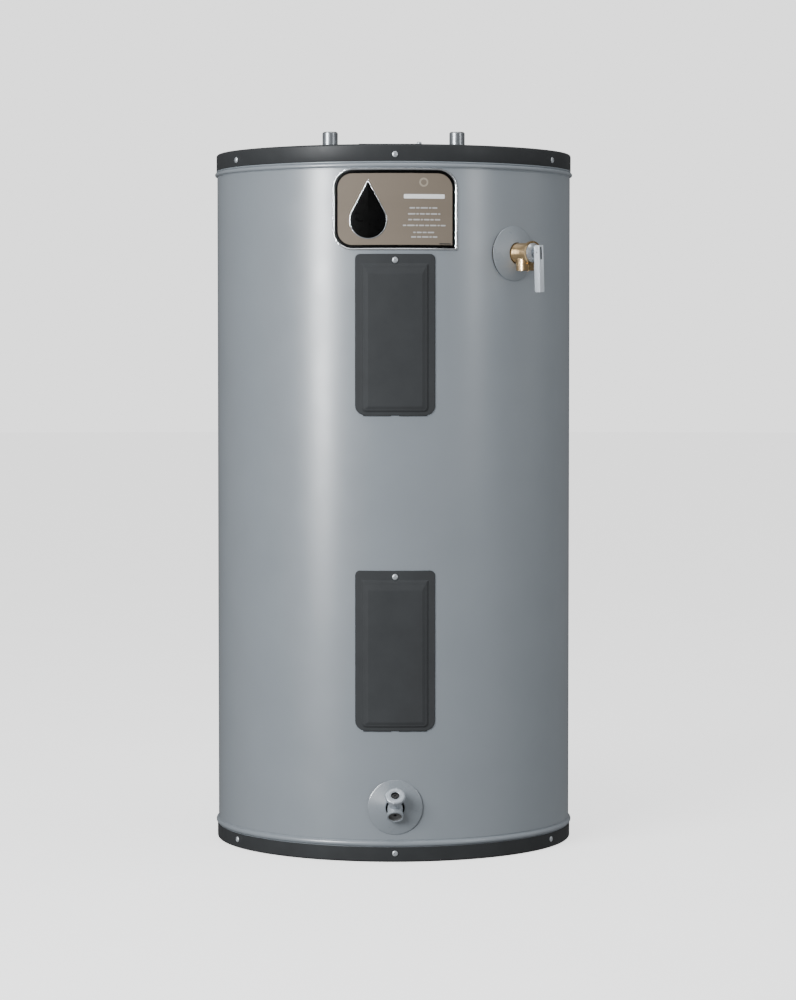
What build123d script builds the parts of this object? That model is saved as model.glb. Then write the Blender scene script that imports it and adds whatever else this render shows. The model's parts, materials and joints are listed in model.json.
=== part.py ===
from build123d import *

import os
from math import cos, radians, sin, sqrt, tan

# Electric storage water heater. Millimetres, +Z up, the front faces -Y,
# and the origin is the centre of the base pan's underside.

# ---------------------------------------------------------------- driving dimensions
JACKET_RADIUS = 304.8  # a 24 inch jacket
JACKET_WALL = 0.8
BODY_HEIGHT = 1180.4  # floor to the rim of the top cap
NIPPLE_TOP = 1221.6
SHEET = 1.2  # steel of the cap, the pan and the junction box
SLIP = 0.2  # slip gap between neighbouring pieces that don't move

TANK_RADIUS = 254.0
TANK_WALL = 3.0
TANK_FOOT = 30.0
TANK_FLOOR_EDGE = 62.0
TANK_SHOULDER = 1040.0
DOME_RISE = 72.0
FLOOR_RISE = 33.0

CAP_RADIUS = 306.2
CAP_SKIRT = 28.2
CAP_RECESS_RADIUS = 279.0
CAP_RECESS_DEPTH = 2.5
PAN_RADIUS = 306.7
PAN_SKIRT = 25.0
TOP_BEAD_HEIGHT = 1146.0
BASE_BEAD_HEIGHT = 30.2
BEAD_SWELL = 4.0
CAP_SCREW_HEIGHT = 1163.4
PAN_SCREW_HEIGHT = 14.6
CAP_SCREW_ANGLES = range(0, 360, 60)

PIPE_RADIUS = 13.33  # 3/4 inch pipe thread
PIPE_BORE = 9.5
NIPPLE_OFFSET = 109.8
NIPPLE_FOOT = 1096.0
NIPPLE_FOOT_THREAD = 17.0
NIPPLE_TOP_THREAD = 34.0
NIPPLE_WAIST = 0.3  # the plain middle is this much slimmer than the threaded ends
ANODE_Y = 150.0

PANEL_WIDTH = 131.4
PANEL_HEIGHT = 264.0
PANEL_WALL = 1.6
PANEL_CENTRES = {"upper": 869.2, "lower": 349.8}
BAY_WIDTH = 100.0
BAY_HEIGHT = 226.0
PANEL_SCREW_DROP = 10.2
FIELD_LOW, FIELD_MID, FIELD_HIGH = 2.4, 5.0, 7.6  # outer faces of the panel's three steps

BADGE_WIDTH = 204.9
BADGE_LOW, BADGE_HIGH = 1007.4, 1141.0
BADGE_CORNER = 32.0
BADGE_FRAME_WIDTH = 7.5

RELIEF_ANGLE = 40.2
RELIEF_HEIGHT = 1004.0
DRAIN_HEIGHT = 91.0
TRIM_RING_RADIUS = 45.5
TRIM_RING_RISE = 11.0

ELEMENT_HEIGHTS = {"upper": 790.0, "lower": 270.6}
ELEMENT_LEG_SPACING = 22.0
ELEMENT_REACH = 280.0
THERMOSTAT_BACK = 255.8
THERMOSTAT_DEPTH = 17.6
PAD_INNER_RADIUS = 287.0

BOX_CENTRE = (0.0, -173.0)
BOX_WIDTH, BOX_LENGTH, BOX_DEPTH = 150.0, 90.0, 42.0
HATCH = (-8.0, -173.0)
HATCH_WIDTH, HATCH_LENGTH = 84.0, 78.0
COVER_WIDTH, COVER_LENGTH = 108.0, 92.0
COVER_RISE = 8.7
COVER_SCREWS = ((41.0, -205.0), (-57.0, -141.0))
KNOCKOUT = (62.0, -173.0)
KNOCKOUT_RADIUS = 11.1

# ---------------------------------------------------------------- derived sizes
CAP_FACE = BODY_HEIGHT - CAP_RECESS_DEPTH  # the recessed top face of the cap
CAP_LOW = BODY_HEIGHT - CAP_SKIRT
JACKET_INNER = JACKET_RADIUS - JACKET_WALL
JACKET_LOW, JACKET_HIGH = 3.0, BODY_HEIGHT - 4.0
TANK_INNER = TANK_RADIUS - TANK_WALL
FOAM_RADIUS = JACKET_INNER - SLIP
THERMOSTAT_FRONT = THERMOSTAT_BACK + THERMOSTAT_DEPTH
BOX_TOP = CAP_FACE - SHEET - SLIP
BOX_FLOOR = BOX_TOP - BOX_DEPTH

FRONT = Plane.XZ  # x right, y up, z towards the viewer


def finish(builder, name):
    """Label a finished piece and write it under its own name."""
    builder.part.label = name
    export_step(builder.part, f"parts/{name}.step")


def radial_plane(angle, height, radius=JACKET_RADIUS):
    """Plane tangent to a cylinder: x to the right, y up, z outward. Angle 0 is the front."""
    turn = radians(angle)
    return Plane(
        origin=(radius * sin(turn), -radius * cos(turn), height),
        x_dir=(cos(turn), sin(turn), 0),
        z_dir=(sin(turn), -cos(turn), 0),
    )


def side_plane(angle, height, radius=JACKET_RADIUS):
    """Plane through a radial axis: x outward, y up."""
    turn = radians(angle)
    return Plane(
        origin=(radius * sin(turn), -radius * cos(turn), height),
        x_dir=(sin(turn), -cos(turn), 0),
        z_dir=(-cos(turn), -sin(turn), 0),
    )


def rod(place, start, end, radius, mode=Mode.ADD, taper=0.0):
    """Round bar along the plane's normal, from start to end."""
    with BuildSketch(place.offset(start)) as section:
        Circle(radius)
    extrude(section.sketch, amount=end - start, taper=taper, mode=mode)


def hex_bar(place, start, end, across_flats, mode=Mode.ADD):
    """Hexagonal bar along the plane's normal."""
    with BuildSketch(place.offset(start)) as section:
        RegularPolygon(across_flats / sqrt(3), 6)
    extrude(section.sketch, amount=end - start, mode=mode)


def block(place, start, end, width, height, centre=(0.0, 0.0), corner=0.0, mode=Mode.ADD):
    """Straight block along the plane's normal, with optional rounded corners."""
    with BuildSketch(place.offset(start)) as section:
        with Locations(centre):
            if corner:
                RectangleRounded(width, height, corner)
            else:
                Rectangle(width, height)
    extrude(section.sketch, amount=end - start, mode=mode)


def keep_between(inner, outer, low, high):
    """Trim what has been built to the space between two upright cylinders."""
    rod(Plane.XY, low, high, outer, mode=Mode.INTERSECT)
    rod(Plane.XY, low - 1, high + 1, inner, mode=Mode.SUBTRACT)


def spin(points, mode=Mode.ADD, plane=FRONT, axis=Axis.Z):
    """Turn a closed outline of (radius, height) points about the axis."""
    with BuildSketch(plane) as section:
        with BuildLine() as outline:
            Polyline(*points, close=True)
        make_face(outline.edges())
    revolve(section.sketch, axis=axis, mode=mode)


def cross_recess(place, depth_top, depth, size):
    """Cross recess of a Phillips head, cut down from depth_top."""
    for width, height in ((size, size * 0.22), (size * 0.22, size)):
        block(place, depth_top - depth, depth_top + 1, width, height, mode=Mode.SUBTRACT)


def pan_screw(place, head_radius, head_height, shank_radius, shank_length):
    """Pan-head screw whose head stands on the plane and whose shank runs behind it."""
    rod(place, -shank_length, 0.2, shank_radius)
    rod(place, 0, head_height * 0.45, head_radius)
    rod(place, head_height * 0.45, head_height, head_radius, taper=35)
    cross_recess(place, head_height, head_height * 0.6, head_radius * 1.15)


def dome_height(radius, edge_height, rise, edge_radius=TANK_RADIUS):
    """Height of a spherical head at a radius, given its edge height and its rise."""
    sphere = (edge_radius**2 + rise**2) / (2 * rise)
    return edge_height + rise - sphere + sqrt(sphere**2 - radius**2)


def tube_along(points, bends, radius, bore=0.0, mode=Mode.ADD):
    """Round tube or wire along straight runs joined by tangent arcs, one bend per corner."""
    with BuildLine() as path:
        FilletPolyline(*points, radius=bends)
    route = path.line
    start = Plane(origin=route @ 0, z_dir=route % 0)
    with BuildSketch(start) as section:
        Circle(radius)
        if bore:
            Circle(bore, mode=Mode.SUBTRACT)
    sweep(section.sketch, path=route, mode=mode)


os.makedirs("parts", exist_ok=True)


# ---------------------------------------------------------------- jacket
def jacket_skin(radius, half_bead):
    """Half outline of the jacket with its two rolled beads, closed on the axis."""
    with BuildLine() as outline:
        corner = (radius, JACKET_LOW)
        Line((0, JACKET_LOW), corner)
        for height in (BASE_BEAD_HEIGHT, TOP_BEAD_HEIGHT):
            start = (radius, height - half_bead)
            end = (radius, height + half_bead)
            Line(corner, start)
            ThreePointArc(start, (radius + BEAD_SWELL, height), end)
            corner = end
        Line(corner, (radius, JACKET_HIGH))
        Line((radius, JACKET_HIGH), (0, JACKET_HIGH))
        Line((0, JACKET_HIGH), (0, JACKET_LOW))
    return outline.edges()


SEAM_WIDTH = 16.0
SEAM_LOW, SEAM_HIGH = 38.0, 1140.0
RIVET_COUNT = 12
RIVET_PITCH = (SEAM_HIGH - SEAM_LOW - 60) / (RIVET_COUNT - 1)
RIVET_HEIGHTS = [SEAM_LOW + 30 + RIVET_PITCH * i for i in range(RIVET_COUNT)]


def seam_lap():
    """Strip at the back where the sheet overlaps itself."""
    middle = (SEAM_LOW + SEAM_HIGH) / 2
    with BuildPart(mode=Mode.PRIVATE) as lap:
        block(radial_plane(180, middle), -2, 3, SEAM_WIDTH, SEAM_HIGH - SEAM_LOW)
        keep_between(JACKET_RADIUS - 0.1, JACKET_RADIUS + JACKET_WALL, 0, BODY_HEIGHT)
    return lap.part


with BuildPart() as jacket:
    for wall, half_bead, mode in ((0, 4.6, Mode.ADD), (JACKET_WALL, 3.9, Mode.SUBTRACT)):
        with BuildSketch(FRONT) as skin:
            make_face(jacket_skin(JACKET_RADIUS - wall, half_bead))
        revolve(skin.sketch, axis=Axis.Z, mode=mode)
    for middle in PANEL_CENTRES.values():
        block(FRONT, 280, 320, 104, 232, (0, middle), 10, Mode.SUBTRACT)
        screw_height = middle + PANEL_HEIGHT / 2 - PANEL_SCREW_DROP
        rod(radial_plane(0, screw_height), -9, 9, 2.3, Mode.SUBTRACT)
    rod(radial_plane(0, DRAIN_HEIGHT), -9, 9, 19, Mode.SUBTRACT)
    rod(radial_plane(RELIEF_ANGLE, RELIEF_HEIGHT), -9, 9, 22, Mode.SUBTRACT)
    for angle in CAP_SCREW_ANGLES:
        rod(radial_plane(angle, CAP_SCREW_HEIGHT), -9, 9, 2.2, Mode.SUBTRACT)
        rod(radial_plane(angle, PAN_SCREW_HEIGHT), -9, 9, 2.2, Mode.SUBTRACT)
    add(seam_lap())
    for height in RIVET_HEIGHTS:
        rod(radial_plane(180, height), -4, 4, 1.7, Mode.SUBTRACT)
finish(jacket, "jacket")

with BuildPart() as jacket_seam_rivets:
    for height in RIVET_HEIGHTS:
        back = radial_plane(180, height, JACKET_RADIUS + JACKET_WALL + 0.1)
        rod(back, -1.6, 0.1, 1.6)
        rod(back, 0, 0.5, 3.3)
        rod(back, 0.5, 1.5, 3.3, taper=45)
finish(jacket_seam_rivets, "jacket_seam_rivets")


# ---------------------------------------------------------------- top cap and base pan
def cap_outline(wall):
    """Half outline of the cap's outer face, or of its hollow when a wall is given."""
    rim = CAP_RADIUS - wall
    top = BODY_HEIGHT - wall
    face = CAP_FACE - wall
    bend = 4.0 - wall
    return [
        Line((0, CAP_LOW), (rim, CAP_LOW)),
        Line((rim, CAP_LOW), (rim, top - bend)),
        RadiusArc((rim, top - bend), (rim - bend, top), -bend),
        Line((rim - bend, top), (CAP_RECESS_RADIUS + 4, top)),
        Line((CAP_RECESS_RADIUS + 4, top), (CAP_RECESS_RADIUS, face)),
        Line((CAP_RECESS_RADIUS, face), (0, face)),
        Line((0, face), (0, CAP_LOW)),
    ]


def pan_outline(wall):
    """Half outline of the base pan's outer face, or of its hollow."""
    rim = PAN_RADIUS - wall
    bend = 3.0 - wall
    return [
        Line((0, wall), (rim - bend, wall)),
        RadiusArc((rim - bend, wall), (rim, wall + bend), -bend),
        Line((rim, wall + bend), (rim, PAN_SKIRT)),
        Line((rim, PAN_SKIRT), (0, PAN_SKIRT)),
        Line((0, PAN_SKIRT), (0, wall)),
    ]


def shell_of(outline):
    """Turn an outer outline and take out the hollow one sheet further in."""
    for wall, mode in ((0, Mode.ADD), (SHEET, Mode.SUBTRACT)):
        with BuildSketch(FRONT, mode=Mode.PRIVATE) as half:
            with BuildLine() as edge:
                outline(wall)
            make_face(edge.edges())
        revolve(half.sketch, axis=Axis.Z, mode=mode)


NIPPLE_HOLE = 19.0
ANODE_HOLE = 22.0

with BuildPart() as top_cap:
    shell_of(cap_outline)
    for x in (-NIPPLE_OFFSET, NIPPLE_OFFSET):
        rod(Plane((x, 0, 0)), CAP_FACE - 9, CAP_FACE + 9, NIPPLE_HOLE, Mode.SUBTRACT)
    rod(Plane((0, ANODE_Y, 0)), CAP_FACE - 9, CAP_FACE + 9, ANODE_HOLE, Mode.SUBTRACT)
    block(Plane.XY, CAP_FACE - 9, CAP_FACE + 9, HATCH_WIDTH, HATCH_LENGTH, HATCH, 4, Mode.SUBTRACT)
    for place in COVER_SCREWS:
        rod(Plane((*place, 0)), CAP_FACE - 9, CAP_FACE + 9, 2.1, Mode.SUBTRACT)
    rod(Plane((*KNOCKOUT, 0)), CAP_FACE - 9, CAP_FACE + 9, KNOCKOUT_RADIUS, Mode.SUBTRACT)
    for angle in CAP_SCREW_ANGLES:
        rod(radial_plane(angle, CAP_SCREW_HEIGHT), -9, 9, 2.2, Mode.SUBTRACT)
finish(top_cap, "top_cap")

with BuildPart() as base_pan:
    shell_of(pan_outline)
    for angle in CAP_SCREW_ANGLES:
        rod(radial_plane(angle, PAN_SCREW_HEIGHT), -9, 9, 2.2, Mode.SUBTRACT)
finish(base_pan, "base_pan")

with BuildPart() as top_cap_screws:
    for angle in CAP_SCREW_ANGLES:
        pan_screw(radial_plane(angle, CAP_SCREW_HEIGHT, CAP_RADIUS + 0.1), 4.8, 2.4, 2.0, 8)
finish(top_cap_screws, "top_cap_screws")

with BuildPart() as base_pan_screws:
    for angle in CAP_SCREW_ANGLES:
        pan_screw(radial_plane(angle, PAN_SCREW_HEIGHT, PAN_RADIUS + 0.1), 4.8, 2.4, 2.0, 8)
finish(base_pan_screws, "base_pan_screws")


# ---------------------------------------------------------------- tank
def spherical_edge(radius, edge_height, rise):
    """Arc of a spherical head from its edge to the axis."""
    middle = (radius / 2, dome_height(radius / 2, edge_height, rise, radius))
    return ThreePointArc((radius, edge_height), middle, (0, edge_height + rise))


def tank_outline():
    """Outer half outline of the tank, with its foot ring below the floor."""
    return [
        spherical_edge(TANK_INNER, TANK_FLOOR_EDGE, FLOOR_RISE),
        Line((TANK_INNER, TANK_FLOOR_EDGE), (TANK_INNER, TANK_FOOT)),
        Line((TANK_INNER, TANK_FOOT), (TANK_RADIUS, TANK_FOOT)),
        Line((TANK_RADIUS, TANK_FOOT), (TANK_RADIUS, TANK_SHOULDER)),
        spherical_edge(TANK_RADIUS, TANK_SHOULDER, DOME_RISE),
        Line((0, TANK_SHOULDER + DOME_RISE), (0, TANK_FLOOR_EDGE + FLOOR_RISE)),
    ]


def tank_hollow():
    """Half outline of the water space."""
    floor = TANK_FLOOR_EDGE + TANK_WALL
    head = TANK_SHOULDER - 1
    return [
        spherical_edge(TANK_INNER, floor, FLOOR_RISE),
        Line((TANK_INNER, floor), (TANK_INNER, head)),
        spherical_edge(TANK_INNER, head, DOME_RISE - 2),
        Line((0, head + DOME_RISE - 2), (0, floor + FLOOR_RISE)),
    ]


def turned_face(outline, mode=Mode.ADD):
    """Turn the face inside a half outline about Z."""
    with BuildSketch(FRONT, mode=Mode.PRIVATE) as half:
        with BuildLine() as edge:
            outline()
        make_face(edge.edges())
    revolve(half.sketch, axis=Axis.Z, mode=mode)


SPUD_RADIUS = 19.5
SPUD_HOLE = PIPE_RADIUS + 0.07
SPUD_TOP = {
    x: dome_height(abs(x), TANK_SHOULDER, DOME_RISE) + 12 for x in (-NIPPLE_OFFSET, NIPPLE_OFFSET)
}
ANODE_SPUD_TOP = dome_height(ANODE_Y, TANK_SHOULDER, DOME_RISE) + 14
ELEMENT_SPUD_FACE = 263.0
ELEMENT_THREAD_RADIUS = 16.5
SIDE_SPUDS = ((RELIEF_ANGLE, RELIEF_HEIGHT, 270.0), (0, DRAIN_HEIGHT, 270.0))

with BuildPart() as tank_shell:
    turned_face(tank_outline)
    for x, top in SPUD_TOP.items():
        rod(Plane((x, 0, 0)), top - 30, top, SPUD_RADIUS)
    rod(Plane((0, ANODE_Y, 0)), ANODE_SPUD_TOP - 34, ANODE_SPUD_TOP, SPUD_RADIUS)
    for angle, height, face in SIDE_SPUDS:
        rod(radial_plane(angle, height, 0), TANK_INNER - 6, face, SPUD_RADIUS)
    for height in ELEMENT_HEIGHTS.values():
        rod(radial_plane(0, height, 0), TANK_INNER - 6, ELEMENT_SPUD_FACE, 25)
    turned_face(tank_hollow, Mode.SUBTRACT)
    for x in SPUD_TOP:
        rod(Plane((x, 0, 0)), 1060, 1130, SPUD_HOLE, Mode.SUBTRACT)
    rod(Plane((0, ANODE_Y, 0)), 1050, 1130, 13.0, Mode.SUBTRACT)
    for angle, height, face in SIDE_SPUDS:
        rod(radial_plane(angle, height, 0), 235, 290, SPUD_HOLE, Mode.SUBTRACT)
    for height in ELEMENT_HEIGHTS.values():
        hole = ELEMENT_THREAD_RADIUS + 0.1
        rod(radial_plane(0, height, 0), 235, 290, hole, Mode.SUBTRACT)
finish(tank_shell, "tank_shell")

SUPPORT_RADIUS = 286.0
with BuildPart() as base_support:
    rod(Plane.XY, SHEET + SLIP, TANK_FOOT - SLIP, SUPPORT_RADIUS)
    rod(Plane.XY, 0, TANK_FOOT, 200, Mode.SUBTRACT)
finish(base_support, "base_support")


# ---------------------------------------------------------------- pipe nipples and what hangs in them
LIP = 0.8


NIPPLE_CHAMFER = 1.4


def nipple(x):
    """Pipe nipple from the spud to just under the plastic lip, threaded at both ends."""
    with BuildPart() as piece:
        place = Plane((x, 0, 0))
        end = NIPPLE_TOP - LIP
        rod(place, NIPPLE_FOOT, NIPPLE_FOOT + NIPPLE_FOOT_THREAD, PIPE_RADIUS)
        rod(place, NIPPLE_FOOT, end, PIPE_RADIUS - NIPPLE_WAIST)
        rod(place, end - NIPPLE_CHAMFER - NIPPLE_TOP_THREAD, end, PIPE_RADIUS)
        chamfer(piece.faces().sort_by(Axis.Z)[-1].edges(), NIPPLE_CHAMFER)
        rod(place, NIPPLE_FOOT - 1, NIPPLE_TOP, PIPE_BORE, Mode.SUBTRACT)
    return piece


cold_inlet_nipple = nipple(-NIPPLE_OFFSET)
finish(cold_inlet_nipple, "cold_inlet_nipple")
hot_outlet_nipple = nipple(NIPPLE_OFFSET)
finish(hot_outlet_nipple, "hot_outlet_nipple")


def plastic_liner(x, foot):
    """Thin plastic tube that hangs in a nipple by a lip on the nipple's end."""
    with BuildPart() as piece:
        place = Plane((x, 0, 0))
        rod(place, foot, NIPPLE_TOP, PIPE_BORE - SLIP)
        rod(place, NIPPLE_TOP - LIP, NIPPLE_TOP, PIPE_RADIUS - 1.8)
        rod(place, foot - 1, NIPPLE_TOP + 1, PIPE_BORE - SLIP - 1.5, Mode.SUBTRACT)
    return piece


dip_tube = plastic_liner(-NIPPLE_OFFSET, 150)
finish(dip_tube, "dip_tube")
hot_nipple_liner = plastic_liner(NIPPLE_OFFSET, NIPPLE_FOOT - 8)
finish(hot_nipple_liner, "hot_nipple_liner")


def nipple_ring(x):
    """Snap-in ring that closes the cap's hole round a nipple."""
    with BuildPart() as piece:
        place = Plane((x, 0, 0))
        rod(place, CAP_FACE + 0.1, CAP_FACE + 2.4, 26)
        chamfer(piece.faces().sort_by(Axis.Z)[-1].edges(), 1.2)
        rod(place, CAP_FACE - 5, CAP_FACE + 0.5, NIPPLE_HOLE - SLIP)
        rod(place, CAP_FACE - 6, CAP_FACE + 6, PIPE_RADIUS + 0.4, Mode.SUBTRACT)
    return piece


cold_inlet_ring = nipple_ring(-NIPPLE_OFFSET)
finish(cold_inlet_ring, "cold_inlet_ring")
hot_outlet_ring = nipple_ring(NIPPLE_OFFSET)
finish(hot_outlet_ring, "hot_outlet_ring")

with BuildPart() as anode_rod:
    anode = Plane((0, ANODE_Y, 0))
    rod(anode, 190, ANODE_SPUD_TOP, 10.5)
    rod(anode, ANODE_SPUD_TOP - 24, ANODE_SPUD_TOP, 12.9)
    hex_bar(anode, ANODE_SPUD_TOP, ANODE_SPUD_TOP + 15, 27)
finish(anode_rod, "anode_rod")

with BuildPart() as anode_access_cap:
    anode = Plane((0, ANODE_Y, 0))
    rod(anode, CAP_FACE + 0.1, CAP_FACE + 2.3, 27)
    chamfer(anode_access_cap.faces().sort_by(Axis.Z)[-1].edges(), 1.2)
    rod(anode, CAP_FACE - 7, CAP_FACE + 0.5, ANODE_HOLE - SLIP)
    rod(anode, CAP_FACE - 8, CAP_FACE - 0.5, ANODE_HOLE - 2.2, Mode.SUBTRACT)
    block(anode, CAP_FACE + 2.2, CAP_FACE + 4.6, 3, 22, corner=1.4)
finish(anode_access_cap, "anode_access_cap")


# ---------------------------------------------------------------- access panels
STEP_RISE = FIELD_MID - FIELD_LOW
STEPS = (
    # half width, drop below the top edge, rise above the bottom edge, outer face
    (55.7, 18.5, 6.5, FIELD_MID),
    (50.7, 25.4, 12.0, FIELD_HIGH),
)
STEP_ROOT = 11.4  # each step's solid reaches this far behind the level it stands on


def panel_outline(inset):
    """Outline of the cover: tight corners at the top, wide ones at the bottom."""
    width = PANEL_WIDTH / 2 - inset
    half = PANEL_HEIGHT / 2 - inset
    with BuildSketch() as shape:
        Rectangle(2 * width, 2 * half)
        rows = shape.vertices().group_by(Axis.Y)
        fillet(rows[-1], 8 - inset)
        fillet(shape.vertices().group_by(Axis.Y)[0], 16 - inset)
    return shape.sketch


def raised_step(middle, wall, half_width, drop, rise, outer):
    """One step: a block with 45 degree flanks, cut off at the step's outer face."""
    sag = JACKET_RADIUS - sqrt(JACKET_RADIUS**2 - half_width**2)
    spread = STEP_ROOT - wall
    width = 2 * (half_width - sag + spread)
    height = PANEL_HEIGHT - drop - rise + 2 * spread
    centre = (0, middle + (rise - drop) / 2)
    root = FRONT.offset(JACKET_RADIUS + outer - wall - STEP_RISE - STEP_ROOT)
    with BuildPart(mode=Mode.PRIVATE) as step:
        with BuildSketch(root) as foot:
            with Locations(centre):
                RectangleRounded(width, height, 8)
        extrude(foot.sketch, amount=STEP_RISE + STEP_ROOT + 1, taper=45)
        rod(Plane.XY, middle - 200, middle + 200, JACKET_RADIUS + outer - wall, Mode.INTERSECT)
    return step.part


def panel_solid(middle, wall):
    """Solid under the panel's outer face, or under its inner face when a wall is given."""
    with BuildPart(mode=Mode.PRIVATE) as solid:
        with BuildSketch(FRONT.offset(270)) as foot:
            with Locations((0, middle)):
                add(panel_outline(wall))
        extrude(foot.sketch, amount=60)
        rod(Plane.XY, middle - 200, middle + 200, JACKET_RADIUS + FIELD_LOW - wall, Mode.INTERSECT)
        for step in STEPS:
            add(raised_step(middle, wall, *step))
        back = -8 if wall else 0.3
        rod(Plane.XY, middle - 200, middle + 200, JACKET_RADIUS + back, Mode.SUBTRACT)
    return solid.part


def panel_tab(middle):
    """Tongue below the panel that hooks over the jacket, with a notch in its middle."""
    bottom = middle - PANEL_HEIGHT / 2
    with BuildPart(mode=Mode.PRIVATE) as tab:
        block(FRONT, 280, 320, 109, 5, (0, bottom + 0.9))
        block(FRONT, 279, 321, 12, 2, (0, bottom - 1.3), mode=Mode.SUBTRACT)
        keep_between(JACKET_RADIUS + 0.3, JACKET_RADIUS + 1.8, 0, BODY_HEIGHT)
    return tab.part


def access_panel(middle):
    """Stamped cover with two raised steps, a bottom tab and one screw hole."""
    with BuildPart() as piece:
        add(panel_solid(middle, 0))
        add(panel_solid(middle, PANEL_WALL), mode=Mode.SUBTRACT)
        add(panel_tab(middle))
        screw_height = middle + PANEL_HEIGHT / 2 - PANEL_SCREW_DROP
        rod(radial_plane(0, screw_height), -9, 9, 2.4, Mode.SUBTRACT)
    return piece


def panel_screw(middle):
    """Screw of an access panel, with its head on the panel's ledge."""
    with BuildPart() as piece:
        screw_height = middle + PANEL_HEIGHT / 2 - PANEL_SCREW_DROP
        pan_screw(radial_plane(0, screw_height, JACKET_RADIUS + FIELD_LOW + 0.1), 4.9, 2.6, 2.0, 10)
    return piece


def panel_pad(middle):
    """Insulation pad stuck to the back of a panel."""
    with BuildPart() as piece:
        block(FRONT, 270, 330, 90, 210, (0, middle - 4), 5)
        keep_between(PAD_INNER_RADIUS, JACKET_RADIUS + FIELD_HIGH - PANEL_WALL - 0.3, 0, BODY_HEIGHT)
    return piece


for level, middle in PANEL_CENTRES.items():
    finish(access_panel(middle), f"{level}_panel")
    finish(panel_screw(middle), f"{level}_panel_screw")
    finish(panel_pad(middle), f"{level}_panel_pad")


# ---------------------------------------------------------------- badge
def badge_outline(inset):
    """Badge outline: three round corners and a square one at the lower right."""
    half = BADGE_WIDTH / 2 - inset
    low, high = BADGE_LOW + inset, BADGE_HIGH - inset
    with BuildSketch() as shape:
        with Locations((0, (low + high) / 2)):
            Rectangle(2 * half, high - low)
        corners = shape.vertices().sort_by(lambda corner: corner.X - corner.Y)
        fillet(corners[:-1], BADGE_CORNER - inset)
        fillet(shape.vertices().sort_by(lambda corner: corner.X - corner.Y)[-1], 1.5)
    return shape.sketch


def badge_slab(outer_inset, inner_inset, back, front):
    """Curved plate that follows the jacket, with its middle open when asked."""
    with BuildPart() as piece:
        with BuildSketch(FRONT.offset(270)) as face:
            add(badge_outline(outer_inset))
            if inner_inset:
                add(badge_outline(inner_inset), mode=Mode.SUBTRACT)
        extrude(face.sketch, amount=60)
        keep_between(JACKET_RADIUS + back, JACKET_RADIUS + front, BADGE_LOW - 9, BADGE_HIGH + 9)
    return piece


badge_frame = badge_slab(0, BADGE_FRAME_WIDTH, 0.1, 2.6)
finish(badge_frame, "badge_frame")
badge_plate = badge_slab(BADGE_FRAME_WIDTH + 0.1, None, 0.1, 1.6)
finish(badge_plate, "badge_plate")

EMBLEM_X = -44.0
EMBLEM_RADIUS = 31.0
EMBLEM_TIP = 67.0
EMBLEM_HEIGHT = (BADGE_LOW + BADGE_HIGH) / 2 - 18

with BuildPart() as badge_emblem:
    # a water drop: a round foot and two flanks that meet at the tip
    flank = EMBLEM_RADIUS / EMBLEM_TIP
    side = EMBLEM_RADIUS * sqrt(1 - flank**2)
    with BuildSketch(FRONT.offset(270)) as drop:
        with Locations((EMBLEM_X, EMBLEM_HEIGHT)):
            Circle(EMBLEM_RADIUS)
            touch = EMBLEM_RADIUS * flank
            Polygon((-side, touch), (side, touch), (0, EMBLEM_TIP), align=None)
    extrude(drop.sketch, amount=60)
    keep_between(JACKET_RADIUS + 1.65, JACKET_RADIUS + 2.6, BADGE_LOW, BADGE_HIGH)
finish(badge_emblem, "badge_emblem")


# ---------------------------------------------------------------- trim rings
def trim_ring(angle, height, hole):
    """Dished ring that covers the jacket's hole round a valve and follows the jacket."""
    with BuildPart() as piece:
        side = side_plane(angle, height)
        centre = side.origin
        points = (
            (-6, TRIM_RING_RADIUS),
            (1.0, TRIM_RING_RADIUS),
            (2.2, TRIM_RING_RADIUS - 1.2),
            (TRIM_RING_RISE, hole + 1.8),
            (TRIM_RING_RISE, hole),
            (TRIM_RING_RISE - 1.6, hole),
            (0.9, TRIM_RING_RADIUS - 2.2),
            (-6, TRIM_RING_RADIUS - 2.2),
        )
        spin(points, plane=side, axis=Axis(centre, side.x_dir))
        rod(Plane.XY, height - 60, height + 60, JACKET_RADIUS + 0.1, Mode.SUBTRACT)
    return piece


finish(trim_ring(RELIEF_ANGLE, RELIEF_HEIGHT, 17.8), "relief_trim_ring")
finish(trim_ring(0, DRAIN_HEIGHT, 15.6), "drain_trim_ring")

# ---------------------------------------------------------------- relief valve
RELIEF = radial_plane(RELIEF_ANGLE, RELIEF_HEIGHT)  # z is the distance out from the jacket
SHANK_FOOT = -50.0
BARREL_RADIUS = 17.0
BONNET_SEAT = 47.5
STEM_RADIUS = 2.5
PIN_REACH = 63.0
LEVER_BACK, LEVER_FRONT = 54.5, 69.8
LEVER_HALF = 5.3
LEVER_TOP, LEVER_BOTTOM = 12.0, -65.0
LEVER_WALL = 1.2
OUTLET_REACH = 28.5
OUTLET_DROP = 29.0
OUTLET_BORE = 12.2

relief_outlet = Plane(RELIEF.origin + RELIEF.z_dir * OUTLET_REACH, z_dir=(0, 0, -1))

with BuildPart() as relief_valve_body:
    rod(RELIEF, SHANK_FOOT, 8, PIPE_RADIUS)
    rod(RELIEF, 8, 43, BARREL_RADIUS)
    rod(RELIEF, 43, BONNET_SEAT, 19.5)
    rod(relief_outlet, 0, OUTLET_DROP, 14.6)
    rod(RELIEF, SHANK_FOOT - 1, 18, 7.5, Mode.SUBTRACT)
    rod(RELIEF, 17, 18.6, 6.0, Mode.SUBTRACT)
    rod(RELIEF, 18.5, BONNET_SEAT + 1, 12.5, Mode.SUBTRACT)
    rod(relief_outlet, OUTLET_DROP - 14, OUTLET_DROP + 1, OUTLET_BORE, Mode.SUBTRACT)
    rod(relief_outlet, 0, OUTLET_DROP, 8.5, Mode.SUBTRACT)
finish(relief_valve_body, "relief_valve_body")

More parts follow.
